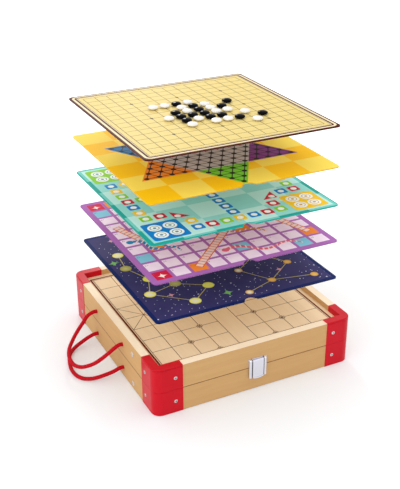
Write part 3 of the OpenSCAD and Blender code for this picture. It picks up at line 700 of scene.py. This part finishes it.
def printStar(size):
    sheet = Print("starPrint", "star_board", size["pale"], size["edge"])
    sheet.paint(sheet.chequer(size["cell"]), size["deep"])
    # u, v and y count outwards along three directions a sixth of a turn apart
    rise = math.sqrt(3) / 2
    y = sheet.y
    u = y * 0.5 - sheet.x * rise
    v = y * 0.5 + sheet.x * rise
    half = size["tip"] / 2
    pointsBack = u.most(v).most(0 - y) < half
    pointsFront = (0 - u).most(0 - v).most(y) < half
    star = pointsBack | pointsFront
    colours = size["points"]
    sheet.paint(star, size["middle"])
    sheet.paint(star & (y > half), colours["back"])
    sheet.paint(star & (y < -half), colours["front"])
    sheet.paint(star & (u > half), colours["backLeft"])
    sheet.paint(star & (u < -half), colours["frontRight"])
    sheet.paint(star & (v > half), colours["backRight"])
    sheet.paint(star & (v < -half), colours["frontLeft"])
    step = size["pitch"] * rise
    ruled = y.fromLine(step).least(u.fromLine(step)).least(v.fromLine(step)) < size["lineHalf"]
    # the holes are two square-cornered lattices, one set in the middle of the other's cells
    dx, dy = sheet.x.fromLine(size["pitch"]), y.fromLine(2 * step)
    far, high = size["pitch"] / 2 - dx, step - dy
    holes = (dx * dx + dy * dy).least(far * far + high * high) < size["holeRadius"] ** 2
    ends = half - size["lineEnd"]
    inner = (u.most(v).most(0 - y) < ends) | ((0 - u).most(0 - v).most(y) < ends)
    sheet.paint(ruled & inner, size["line"])
    sheet.paint(holes & star, size["hole"])
    sheet.finish()


printStar(starBoard)


ludoBoard = {
    "pale": ink(200, 242, 238),
    "deep": ink(156, 224, 220),
    "border": ink(24, 168, 158),
    "borderPale": ink(120, 214, 204),
    "white": ink(255, 255, 252),
    "cell": 45.0,
    "ring": 110.0,         # mm from the middle to the outer rows of the track
    "step": 20.0,          # mm between squares of the track
    "square": 7.7,         # half of a square's width
    "ovalRadius": 4.3,
    "endRow": 69.0,        # mm from the middle line to the ends of the outer rows
    "flank": (81.0, 99.0),     # mm from the middle, the squares beside the home bases
    "home": (21.0, 99.0),      # the squares that lead to the middle
    "cornerAt": 66.0,      # mm from the middle to the corner cells of the track, both ways
    "cornerHalf": 9.5,
    "cornerCut": -2.5,     # where a corner cell's triangle is cut off, from its middle
    "cornerOval": 3.6,     # from a corner cell's middle to its oval, both ways
    "rimAt": 129.0,        # mm from the middle to the border's inner edge
    "rimLine": 133.4,
    "placeAt": 10.5,       # mm from a home base's middle to its standing places, both ways
    "placeRadius": 9.2,
    "placeRing": (5.2, 6.2),
    "placeDot": 2.2,
    "ringLeft": ink(90, 150, 170),
    "ringRight": ink(214, 160, 60),
    "base": 25.0,          # half of a home base's width
    "baseCorner": 4.0,     # radius of its corners
    "baseAt": 100.5,
    "finish": 17.0,        # half of the width of the coloured square in the middle
    "finishMiddle": 7.0,
    "team": {
        "blue": ink(0, 130, 212),
        "red": ink(214, 22, 52),
        "green": ink(146, 212, 38),
        "yellow": ink(255, 204, 26),
    },
}


def printLudo(size):
    sheet = Print("ludoPrint", "ludo_board", size["pale"], size["border"])
    team = size["team"]
    white = size["white"]
    chequer = sheet.chequer(size["cell"])
    sheet.paint(chequer, size["deep"])
    x, y = sheet.x, sheet.y
    along, across = abs(x).most(abs(y)), abs(x).least(abs(y))
    sheet.paint(along > size["rimAt"], size["borderPale"])
    sheet.paint((along > size["rimAt"]) & chequer, size["border"])
    sheet.paint(along > size["rimLine"], size["border"])
    # squares of the track, found on one eighth of the board that stands for all eight
    step, half = size["step"], size["square"]
    acrossOff = across.fromLine(step)
    alongOff = step / 2 - along.fromLine(step)
    endRow = sheet.tile(along - size["ring"], acrossOff, half) & (across < size["endRow"])
    flank = sheet.tile(across - 3 * step, alongOff, half) & along.within(*size["flank"])
    home = sheet.tile(across, alongOff, half) & along.within(*size["home"])
    frontBack = abs(y) > abs(x)
    column = sheet.work.choose(frontBack, y, x) / step
    side = sheet.work.choose(frontBack, x > 0, y > 0)
    number = (column.whole() + (along / step - 0.5).whole() + side * 3 + frontBack * 2).over(4) / 4
    stops = [(0.0, team["blue"]), (0.2, team["red"]), (0.45, team["green"]), (0.7, team["yellow"])]
    trackColour = sheet.work.node("ShaderNodeValToRGB", {"stops": stops}, {0: number})
    sheet.paint(endRow | flank, trackColour)
    homeColour = sheet.work.mix(frontBack, sheet.work.mix(x > 0, team["green"], team["yellow"]),
                                sheet.work.mix(y > 0, team["blue"], team["red"]))
    sheet.paint(home, homeColour)
    # in the corner cells of the track a triangle, its square corner towards the home base
    offX, offY = abs(x) - size["cornerAt"], abs(y) - size["cornerAt"]
    triangle = (offX.most(offY) < size["cornerHalf"]) & (offX + offY > size["cornerCut"])
    sheet.paint(triangle, team["red"])
    # a white oval on each square
    ovalY = alongOff.least(abs(along - size["ring"]))
    ovals = acrossOff * acrossOff + ovalY * ovalY < size["ovalRadius"] ** 2
    sheet.paint(ovals & (endRow | flank | home), white)
    inX, inY = offX - size["cornerOval"], offY - size["cornerOval"]
    sheet.paint(inX * inX + inY * inY < size["ovalRadius"] ** 2, white)
    # home bases, each with four standing places
    bases = {"blue": (-1, -1), "yellow": (1, -1), "green": (-1, 1), "red": (1, 1)}
    for name, (sx, sy) in bases.items():
        base = sheet.tile(x - sx * size["baseAt"], y - sy * size["baseAt"], size["base"],
                          size["baseCorner"])
        sheet.paint(base, team[name])
    placeX = abs(abs(abs(x) - size["baseAt"]) - size["placeAt"])
    placeY = abs(abs(abs(y) - size["baseAt"]) - size["placeAt"])
    rings = (placeX * placeX + placeY * placeY) ** 0.5
    sheet.paint(rings < size["placeRadius"], white)
    ringColour = sheet.work.mix(x > 0, size["ringLeft"], size["ringRight"])
    sheet.paint(rings.within(*size["placeRing"]) | (rings < size["placeDot"]), ringColour)
    # the finish in the middle: four triangles
    sheet.paint(along < size["finish"], homeColour)
    sheet.paint((abs(x) + abs(y)) < size["finishMiddle"], white)
    sheet.finish()


printLudo(ludoBoard)
print("three boards printed")


ladderBoard = {
    "ground": ink(172, 108, 184),
    "blue": ink(132, 206, 228),
    "orange": ink(245, 142, 50),
    "red": ink(214, 28, 66),
    "edge": ink(140, 74, 152),
    "sparkle": ink(255, 244, 236),
    "sparkleRadius": 8.0,
    "snakeBand": ink(250, 222, 214),
    "bandPitch": 7.0,
    "band": 2.0,                 # mm, the width of a pale band
    "pitch": 25.8,
    "cell": 10.6,                # half of a cell's width
    "cellTints": (ink(238, 218, 242), ink(254, 244, 254)),
    "rail": ink(222, 112, 44),
    "betweenRails": ink(246, 222, 214),
    "railAt": 5.2,               # mm from a ladder's middle line
    "railHalf": 0.8,
    "rungPitch": 7.4,
    "rungHalf": 0.75,
    "sway": 7.5,                 # mm that a snake's middle line leaves the straight, to each side
    "tail": 1.7,                 # half of a snake's width at the tail
    "thicker": 2.4,              # added to that at the head
    "head": 5.0,                 # radius of a snake's head
    "blueCells": [(0, 2), (3, 4), (5, 1), (8, 0), (2, 7), (7, 6), (9, 4), (4, 9), (0, 8)],
    "orangeCells": [(2, 0), (6, 3), (1, 3), (9, 1), (3, 6), (7, 8), (5, 5), (1, 9)],
    "ladders": [((2, 0), (5, 3)), ((9, 1), (8, 4)), ((1, 3), (0, 6)), ((3, 6), (4, 8)), ((7, 5), (6, 8))],
    "snakes": [((4, 1), (8, 0), ink(232, 106, 130)), ((0, 4), (2, 2), ink(30, 140, 190)),
               ((4, 4), (7, 2), ink(214, 150, 60)), ((9, 8), (6, 5), ink(100, 180, 80)),
               ((2, 9), (3, 5), ink(232, 106, 130))],
}


def printLadders(size):
    sheet = Print("ladderPrint", "ladder_board", size["ground"], size["edge"])
    pitch = size["pitch"]
    offX = sheet.x - ((sheet.x / pitch - 0.5).whole() + 0.5) * pitch
    offY = sheet.y - ((sheet.y / pitch - 0.5).whole() + 0.5) * pitch
    inCell = (abs(offX).most(abs(offY)) < size["cell"]) & (abs(sheet.x).most(abs(sheet.y)) < 5 * pitch)
    wash = sheet.work.noise(sheet.place, 0.07, 1)
    sheet.paint(inCell, sheet.work.mix(wash, *size["cellTints"]))

    def cellAt(place):
        return (place[0] - 4.5) * pitch, (place[1] - 4.5) * pitch

    for colour in ("blue", "orange"):
        for place in size[colour + "Cells"]:
            sheet.paint(sheet.block(*cellAt(place), size["cell"], size["cell"]), size[colour])
    for place in ((0, 0), (0, 9)):
        sheet.paint(sheet.block(*cellAt(place), size["cell"], size["cell"]), size["red"])
        x, y = cellAt(place)
        sheet.paint(sheet.sparkle(x, y - 1.5, size["sparkleRadius"]), size["sparkle"])
    for start, end in size["ladders"]:
        along, across, length = sheet.lane(cellAt(start), cellAt(end))
        on = along.within(0, length)
        between = abs(across) < size["railAt"]
        sheet.paint(on & between, size["betweenRails"])
        rungs = (along.fromLine(size["rungPitch"]) < size["rungHalf"]) & between
        rails = abs(abs(across) - size["railAt"]) < size["railHalf"]
        sheet.paint(on & (rungs | rails), size["rail"])
    for start, end, colour in size["snakes"]:
        along, across, length = sheet.lane(cellAt(start), cellAt(end))
        sway = (along * (2 * math.pi / (length / 1.5))).wave() * size["sway"]
        body = abs(across - sway) - (1 - along / length) * size["thicker"] < size["tail"]
        bands = along.over(size["bandPitch"]) < size["band"]
        skin = sheet.work.mix(bands, colour, size["snakeBand"])
        sheet.paint(along.within(0, length) & body, skin)
        sheet.paint(sheet.spot(*cellAt(start), size["head"]), colour)
    sheet.finish()


ladderNumbers = {
    "height": 0.0052,       # metres
    "lift": 0.00004,        # above the print
    "offset": (-9.6, 4.6),      # mm from the middle of a cell
    "tints": (ink(150, 92, 160), ink(120, 70, 136)),
}


def makeNumbers(size, board):
    # the numbers 1 to 100, to and fro from the front, each a flat outline set on its cell
    low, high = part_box("ladder_board")
    finish = mouldedFinish("numberInk", *size["tints"], 0.5)
    centre = Vector(((low.x + high.x) / 2, (low.y + high.y) / 2, high.z + size["lift"]))
    made = []
    for index in range(100):
        row, along = divmod(index, 10)
        column = along if row % 2 == 0 else 9 - along
        words = bpy.data.curves.new("number", "FONT")
        words.body = str(index + 1)
        words.size = size["height"]
        words.resolution_u = 1
        letters = bpy.data.objects.new("number", words)
        x = ((column - 4.5) * board["pitch"] + size["offset"][0]) / 1000
        y = ((row - 4.5) * board["pitch"] + size["offset"][1]) / 1000
        letters.location = centre + Vector((x, y, 0))
        bpy.context.scene.collection.objects.link(letters)
        made.append(letters)
    bpy.ops.object.select_all(action="DESELECT")
    for letters in made:
        letters.select_set(True)
    bpy.context.view_layer.objects.active = made[0]
    bpy.ops.object.convert(target="MESH")
    bpy.ops.object.join()
    piece = bpy.context.view_layer.objects.active
    bpy.ops.object.transform_apply(location=True, rotation=True, scale=True)
    piece.name = "ladder_numbers"
    piece.data.materials.clear()
    piece.data.materials.append(finish.material)
    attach(piece, "ladder_board")


printLadders(ladderBoard)
makeNumbers(ladderNumbers, ladderBoard)


starMap = {
    "ground": ink(57, 54, 104),
    "glow": ink(74, 66, 120),
    "border": ink(16, 36, 98),
    "yellow": ink(252, 244, 76),
    "olive": ink(186, 178, 70),
    "orange": ink(240, 176, 40),
    "link": ink(214, 200, 96),
    "linkHalf": 0.5,
    "faint": ink(226, 230, 250),
    "faintStars": [(0.13, 0.09, 0.68), (0.055, 0.06, 0.55)],      # cells to a mm, largest size, rarity
    "edge": ink(12, 22, 60),
    "radius": {"left": 8.0, "right": 5.6, "back": 5.6},
    "heart": ink(255, 252, 226),      # the pale middle of a star
    "bright": 1.3,            # how far the pale middle spreads, on every third star
    "dim": 0.3,               # and on the others
    "borderAt": 129.5,        # mm from the middle
    "leftStars": [(-108, 62), (-113, 20), (-97, -22), (-112, -62), (-70, -50), (-32, -74), (-66, -104)],
    "leftLinks": [(0, 1), (1, 2), (2, 3), (3, 4), (4, 5), (5, 6), (6, 3), (2, 4)],
    "rightStars": [(24, -56), (52, -100), (98, -64), (8, -116), (112, -112), (70, -22)],
    "rightLinks": [(0, 1), (1, 2), (1, 3), (1, 4), (0, 5), (5, 2)],
    "backStars": [(-58, 96), (-14, 112), (30, 88), (74, 110), (112, 72), (106, 22)],
    "backLinks": [(0, 1), (1, 2), (2, 3), (3, 4), (4, 5), (4, 2)],
    "sparkles": [(-122, 42), (-88, -76), (-18, -104), (76, -78),
                 (118, -30), (-100, 110), (52, 118), (-40, 60)],
    "sparkleKinds": [(10, ink(128, 196, 100)), (7, ink(220, 160, 172))],      # by turns: radius, colour
}


def printStarMap(size):
    sheet = Print("starMapPrint", "constellation_board", size["ground"], size["edge"])
    work = sheet.work
    clouds = work.noise(sheet.place, 0.014, 3, 0.55)
    sheet.paint((clouds - 0.42) * 2.4, size["glow"])
    # small stars: one in each cell of two random lattices, of random size
    for spacing, share, rarity in size["faintStars"]:
        cellShape = work.node("ShaderNodeTexVoronoi", {"voronoi_dimensions": "2D"},
                              {"Vector": sheet.flat, "Scale": spacing}, "Distance")
        own = work.node("ShaderNodeTexVoronoi", {"voronoi_dimensions": "2D"},
                        {"Vector": sheet.flat, "Scale": spacing}, "Color")
        chance = work.parts(own)[0]
        sheet.paint((cellShape < chance * share) & (chance > rarity), size["faint"])
    for name, colour in (("left", size["yellow"]), ("right", size["orange"]), ("back", size["yellow"])):
        stars = size[name + "Stars"]
        for first, second in size[name + "Links"]:
            sheet.paint(sheet.bar(stars[first], stars[second], size["linkHalf"]), size["link"])
        radius = size["radius"][name]
        for place, (x, y) in enumerate(stars):
            own = size["olive"] if place % 3 == 1 and name == "left" else colour
            glow = 1 - work.distance(sheet.flat, (x, y, 0)) / radius
            spread = size["bright"] if place % 3 == 0 else size["dim"]
            sheet.paint(glow > 0, work.mix(glow * spread, own, size["heart"]))
    for place, (x, y) in enumerate(size["sparkles"]):
        radius, colour = size["sparkleKinds"][place % 2]
        sheet.paint(sheet.sparkle(x, y, radius), colour)
    sheet.paint(abs(sheet.x).most(abs(sheet.y)) > size["borderAt"], size["border"])
    sheet.finish()


printStarMap(starMap)
print("all boards printed")


riverGame = {
    "wood": caseWood["panel"],
    "line": ink(84, 44, 24),
    "border": ink(112, 44, 26),
    "pitchX": 28.4,          # mm, ten lines across
    "pitchY": 31.5,          # mm, nine lines deep
    "lineHalf": 0.42,
    "tick": (1.2, 2.2),      # mm from a starting point's lines to the inside and outside of its ticks
    "tickReach": 4.6,
    "dotRadius": 1.55,
    "frame": (1.6, 4.4),     # mm outside the grid
}


def printRiver(size):
    sheet = Print("riverPrint", "top_panel", size["wood"], caseWood["panelDark"], 0.55, 0.08,
                  (caseWood["panelDark"], caseWood["panel"]))
    work, x, y = sheet.work, sheet.x, sheet.y
    streaks = grain(work, sheet.place, "y")[0]
    sheet.colour = work.mix(streaks, caseWood["panelDark"], size["wood"])
    px, py, half = size["pitchX"], size["pitchY"], size["lineHalf"]
    reachX, reachY = 4.5 * px, 4 * py
    inside = (abs(x) < reachX + half) & (abs(y) < reachY + half)
    ranks = abs(x + px / 2).fromLine(px) < half
    files = (y.fromLine(py) < half) & (abs(x) > px / 2)
    sheet.paint(inside & (ranks | files | (abs(abs(y) - reachY) < half)), size["line"])
    # the two palaces: a cross of diagonals over the three middle files
    alongPalace = abs(abs(x) - 3.5 * px)
    slope = abs(alongPalace - abs(y) * (px / py)) < half * 1.2
    sheet.paint(slope & (alongPalace < px) & (abs(y) < py), size["line"])
    # corner ticks round the starting points
    points = [(2.5 * px, 3 * py), (1.5 * px, 0), (1.5 * px, 2 * py), (1.5 * px, 4 * py)]
    for pointX, pointY in points:
        dx, dy = abs(abs(x) - pointX), abs(abs(y) - pointY)
        ticks = (dx.most(dy) < size["tickReach"]) & dx.least(dy).within(*size["tick"])
        sheet.paint(ticks & inside, size["line"])
        sheet.paint((dx * dx + dy * dy < size["dotRadius"] ** 2) & inside, size["line"])
    outside = (abs(x) - reachX).most(abs(y) - reachY)
    sheet.paint(outside.within(*size["frame"]), size["border"])
    sheet.finish()


printRiver(riverGame)


stoneShape = {
    "radius": 0.007,         # metres
    "height": 0.0052,
    "columns": 32,
    "rows": 15,
    "edge": 0.82,            # 1 is an ellipse, less makes the edge fuller
}


def stonePlaces(node):
    # the stones' middles, read from the heights and gaps of the node's own points
    mesh = nodes[node].data
    points = np.empty(len(mesh.vertices) * 3)
    mesh.vertices.foreach_get("co", points)
    points = points.reshape(-1, 3)
    crown = points[points[:, 2] > points[:, 2].max() - 0.00002]
    found = []
    for point in crown:
        if all(np.linalg.norm(point[:2] - other[:2]) > 0.005 for other in found):
            cluster = crown[np.linalg.norm(crown[:, :2] - point[:2], axis=1) < 0.004]
            found.append(cluster.mean(0))
    return np.array(found), points[:, 2].min()


def makeStones(name, node, size, finish):
    # a pebble: radius R |cos t|^edge and height H/2 sin t, for t from pole to pole, turned round
    middles, foot = stonePlaces(node)
    t = np.linspace(-np.pi / 2, np.pi / 2, size["rows"])
    angle = np.arange(size["columns"]) / size["columns"] * 2 * np.pi
    radius = size["radius"] * np.abs(np.cos(t)) ** size["edge"]
    height = size["height"] / 2 * (1 + np.sin(t))
    radius[[0, -1]] = 1e-5
    shell = np.stack([radius[:, None] * np.cos(angle), radius[:, None] * np.sin(angle),
                      np.repeat(height[:, None], len(angle), 1)], -1).reshape(-1, 3)
    feet = np.column_stack([middles[:, :2], np.full(len(middles), foot)])
    points = (feet[:, None] + shell[None]).reshape(-1, 3)
    faces = gridFaces(size["rows"], size["columns"], True)
    offsets = np.arange(len(middles))[:, None, None] * len(shell)
    piece = addPiece(name, points, (faces[None] + offsets).reshape(-1, 4), finish, None)
    sealEnds(piece)
    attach(piece, node)
    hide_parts(node)
    return piece


stoneTints = {
    "black": (ink(12, 12, 18), ink(5, 5, 9)),
    "white": (ink(243, 241, 236), ink(232, 230, 225)),
}
blackGlass = mouldedFinish("blackStone", *stoneTints["black"], 0.1, specular=0.035, depth=0.00001)
whiteGlass = mouldedFinish("whiteStone", *stoneTints["white"], 0.2, specular=0.16, depth=0.00002)
makeStones("black_pebbles", "black_stones", stoneShape, blackGlass)
makeStones("white_pebbles", "white_stones", stoneShape, whiteGlass)
dress(blackGlass, "black_stones")
dress(whiteGlass, "white_stones")
print("stones made")


def turnedFinish(name, pale, dark):
    # painted turned wood: rings of the lathe round the upright axis
    work = Finish(name, coat=0.3, coatRoughness=0.2)
    place = work.millimetres()
    rings = work.noise(work.stretched(place, (0.1, 0.1, 2.2)), 1.0, 2)
    work.drive("Base Color", work.mix(rings, dark, pale))
    work.drive("Roughness", 0.34 + rings * 0.12)
    work.bump(rings, 0.00006, 0.4)
    return work


pawnPaint = {
    "red": (ink(212, 32, 40), ink(186, 22, 32)),
    "yellow": (ink(250, 200, 40), ink(232, 178, 24)),
    "green": (ink(64, 160, 70), ink(48, 138, 56)),
    "blue": (ink(30, 100, 190), ink(22, 82, 164)),
}
for name, tints in pawnPaint.items():
    dress(turnedFinish("pawn" + name.capitalize(), *tints), name + "_pawns")


discPaint = {
    "across": 23.0,          # mm, the whole disc
    "pitch": 26.0,
    "from": 13.2,            # the height at which the paint begins
    "ring": (7.1, 9.1),
    "dot": 4.6,
    "wood": (ink(222, 186, 136), ink(240, 212, 168)),
    "red": (ink(196, 30, 36), ink(168, 22, 30)),
    "black": (ink(40, 36, 36), ink(26, 24, 24)),
}


def discFinish(name, size):
    # pale turned wood, with a ring and a dot painted on top of each disc
    work = Finish("disc" + name.capitalize(), coat=0.15, coatRoughness=0.3)
    place = work.millimetres()
    streaks, fibres = grain(work, place, "x")
    wood = work.mix(streaks, *size["wood"])
    tint, tintDark = size[name]
    painted = work.mix(fibres, tintDark, tint)
    # the discs stand on a square lattice, so one disc's radius serves for all of them
    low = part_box(name + "_discs")[0]
    x, y, height = work.parts(place)
    offX = (x - (low.x * 1000 + size["across"] / 2)).fromLine(size["pitch"])
    offY = (y - (low.y * 1000 + size["across"] / 2)).fromLine(size["pitch"])
    radius = (offX * offX + offY * offY) ** 0.5
    marks = (height > size["from"]) & (radius.within(*size["ring"]) | (radius < size["dot"]))
    work.drive("Base Color", work.mix(marks, wood, painted))
    work.drive("Roughness", 0.42 + fibres * 0.12)
    work.bump(fibres, 0.00005, 0.4)
    return work


for name in ("red", "black"):
    dress(discFinish(name, discPaint), name + "_discs")


pegBlocks = {
    "front": (ink(214, 38, 44), ink(248, 196, 40), ink(40, 120, 200)),
    "back": (ink(70, 170, 70), ink(150, 80, 170), ink(240, 130, 40)),
    "betweenBlocks": 44.0,       # mm, left and right of the middle
    "betweenRows": 109.7,        # mm behind the middle
}


def pegFinish(size):
    # six colours of pegs, one to each block
    work = Finish("pegPaint", coat=0.3, coatRoughness=0.2)
    place = work.millimetres()
    x, y, z = work.parts(place)
    rings = work.noise(work.stretched(place, (0.1, 0.1, 2.2)), 1.0, 2)
    rows = []
    for row in ("front", "back"):
        left, middle, right = size[row]
        rightward = work.mix(x > size["betweenBlocks"], middle, right)
        rows.append(work.mix(x > -size["betweenBlocks"], left, rightward))
    colour = work.mix(y > size["betweenRows"], *rows)
    work.drive("Base Color", work.shade(colour, 0.9 + rings * 0.16))
    work.drive("Roughness", 0.34 + rings * 0.12)
    work.bump(rings, 0.00006, 0.4)
    return work


dress(pegFinish(pegBlocks), "star_pegs")


dieShape = {
    "turn": 18.0,            # degrees, each die its own way
    "fromMiddle": 9.6,       # mm between a die's middle and the pair's
    "height": 12.0,          # of the dice's middles
    "ivory": (ink(236, 230, 214), ink(250, 246, 234)),
    "pip": ink(28, 26, 30),
    "hollow": (4.0, 5.94),   # mm from a die's middle, the depths at which a pip's paint lies
    "pipReach": 4.4,         # and how far from a face's middle
}


def diceFinish(size):
    # ivory with dark paint in the hollows of the pips, just under each face
    work = Finish("dieWhite", coat=0.4, coatRoughness=0.1)
    low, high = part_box("dice")
    middle = (low + high) / 2
    place = work.millimetres()
    clouds = work.noise(place, 0.2, 2)
    pips = []
    for side in (-1, 1):
        turn = math.radians(size["turn"] * side)
        centre = (0.0, side * size["fromMiddle"] + middle.y * 1000, size["height"])
        offset = work.node("ShaderNodeVectorMath", {"operation": "SUBTRACT"}, {0: place, 1: centre})
        along = abs(work.dotted(offset, (math.cos(turn), math.sin(turn), 0)))
        across = abs(work.dotted(offset, (-math.sin(turn), math.cos(turn), 0)))
        upward = abs(work.parts(offset)[2])
        highest = along.most(across).most(upward)
        inDie = work.dotted(offset, (0, side, 0)) > -size["fromMiddle"]
        onFace = highest.within(*size["hollow"])
        second = along.least(across).most(along.most(across).least(upward))
        pips.append(inDie & onFace & (second < size["pipReach"]))
    ivory = work.mix(clouds, *size["ivory"])
    work.drive("Base Color", work.mix(pips[0] | pips[1], ivory, size["pip"]))
    work.drive("Roughness", 0.22 + clouds * 0.08)
    work.bump(clouds, 0.00003, 0.2)
    return work


dress(diceFinish(dieShape), "dice")
print("stored pieces dressed")


studio = {
    "floorColours": (ink(222, 223, 225), ink(225, 226, 228)),
    "floorHalf": 12.0,             # metres
    "floorGlow": (0.12, 0.6),      # white added for the camera: near the case, and from glowReach on
    "glowReach": 0.55,             # metres from the middle of the case
    "lamps": {
        # name: place in metres, size, power
        "overheadLamp": ((0.55, -0.15, 1.7), 1.3, 2.0),
        "leftFill": ((-1.8, -0.5, 0.6), 1.2, 5.0),
        "cornerFill": ((-1.2, -1.2, 1.0), 1.2, 4.5),
        "sparkLamp": ((0.34, 1.13, 0.85), 0.2, 3.0),
    },
}


def seenRays(work):
    # 1 for rays of the camera and for those that metal and glass reflect
    paths = work.node("ShaderNodeLightPath", {}, {})
    outputs = {socket.name: Val(work, socket) for socket in paths.socket.node.outputs}
    return outputs["Is Camera Ray"] | outputs["Is Glossy Ray"] | outputs["Is Transmission Ray"]


def makeFloor(size):
    work = Finish("paleFloor", roughness=0.9)
    place = work.millimetres()
    work.drive("Base Color", work.mix(work.noise(place, 0.004, 2), *size["floorColours"]))
    glow = work.tree.nodes.new("ShaderNodeEmission")
    near, far = size["floorGlow"]
    reach = (work.distance(place, (0, 0, 0)) / (1000 * size["glowReach"])).clamped()
    lit = seenRays(work) * (near + reach * reach * (far - near))
    work.tree.links.new(lit.socket, glow.inputs["Strength"])
    both = work.tree.nodes.new("ShaderNodeAddShader")
    work.tree.links.new(work.shader.outputs[0], both.inputs[0])
    work.tree.links.new(glow.outputs[0], both.inputs[1])
    work.tree.links.new(both.outputs[0], work.output.inputs[0])
    edge = np.linspace(-size["floorHalf"], size["floorHalf"], 9)
    x, y = np.meshgrid(edge, edge, indexing="ij")
    points = np.stack([x, y, np.zeros_like(x)], -1).reshape(-1, 3)
    floor = addPiece("floor", points, gridFaces(9, 9, False)[:, ::-1], work, None, smooth=False)


def makeLamp(name, place, size, power):
    data = bpy.data.lights.new(name, "AREA")
    data.size = size
    data.energy = power
    lamp = bpy.data.objects.new(name, data)
    lamp.location = place
    aim = Vector((0, 0, 0.15)) - Vector(place)
    lamp.rotation_euler = aim.to_track_quat("-Z", "Y").to_euler()
    bpy.context.scene.collection.objects.link(lamp)


def makeWorld():
    # an even white tent all round
    world = bpy.data.worlds.new("studioWorld")
    world.use_nodes = True
    world.node_tree.nodes["Background"].inputs["Color"].default_value = (1, 1, 1, 1)
    bpy.context.scene.world = world


makeFloor(studio)
makeWorld()
for name, (place, size, power) in studio["lamps"].items():
    makeLamp(name, place, size, power)
print("studio set")
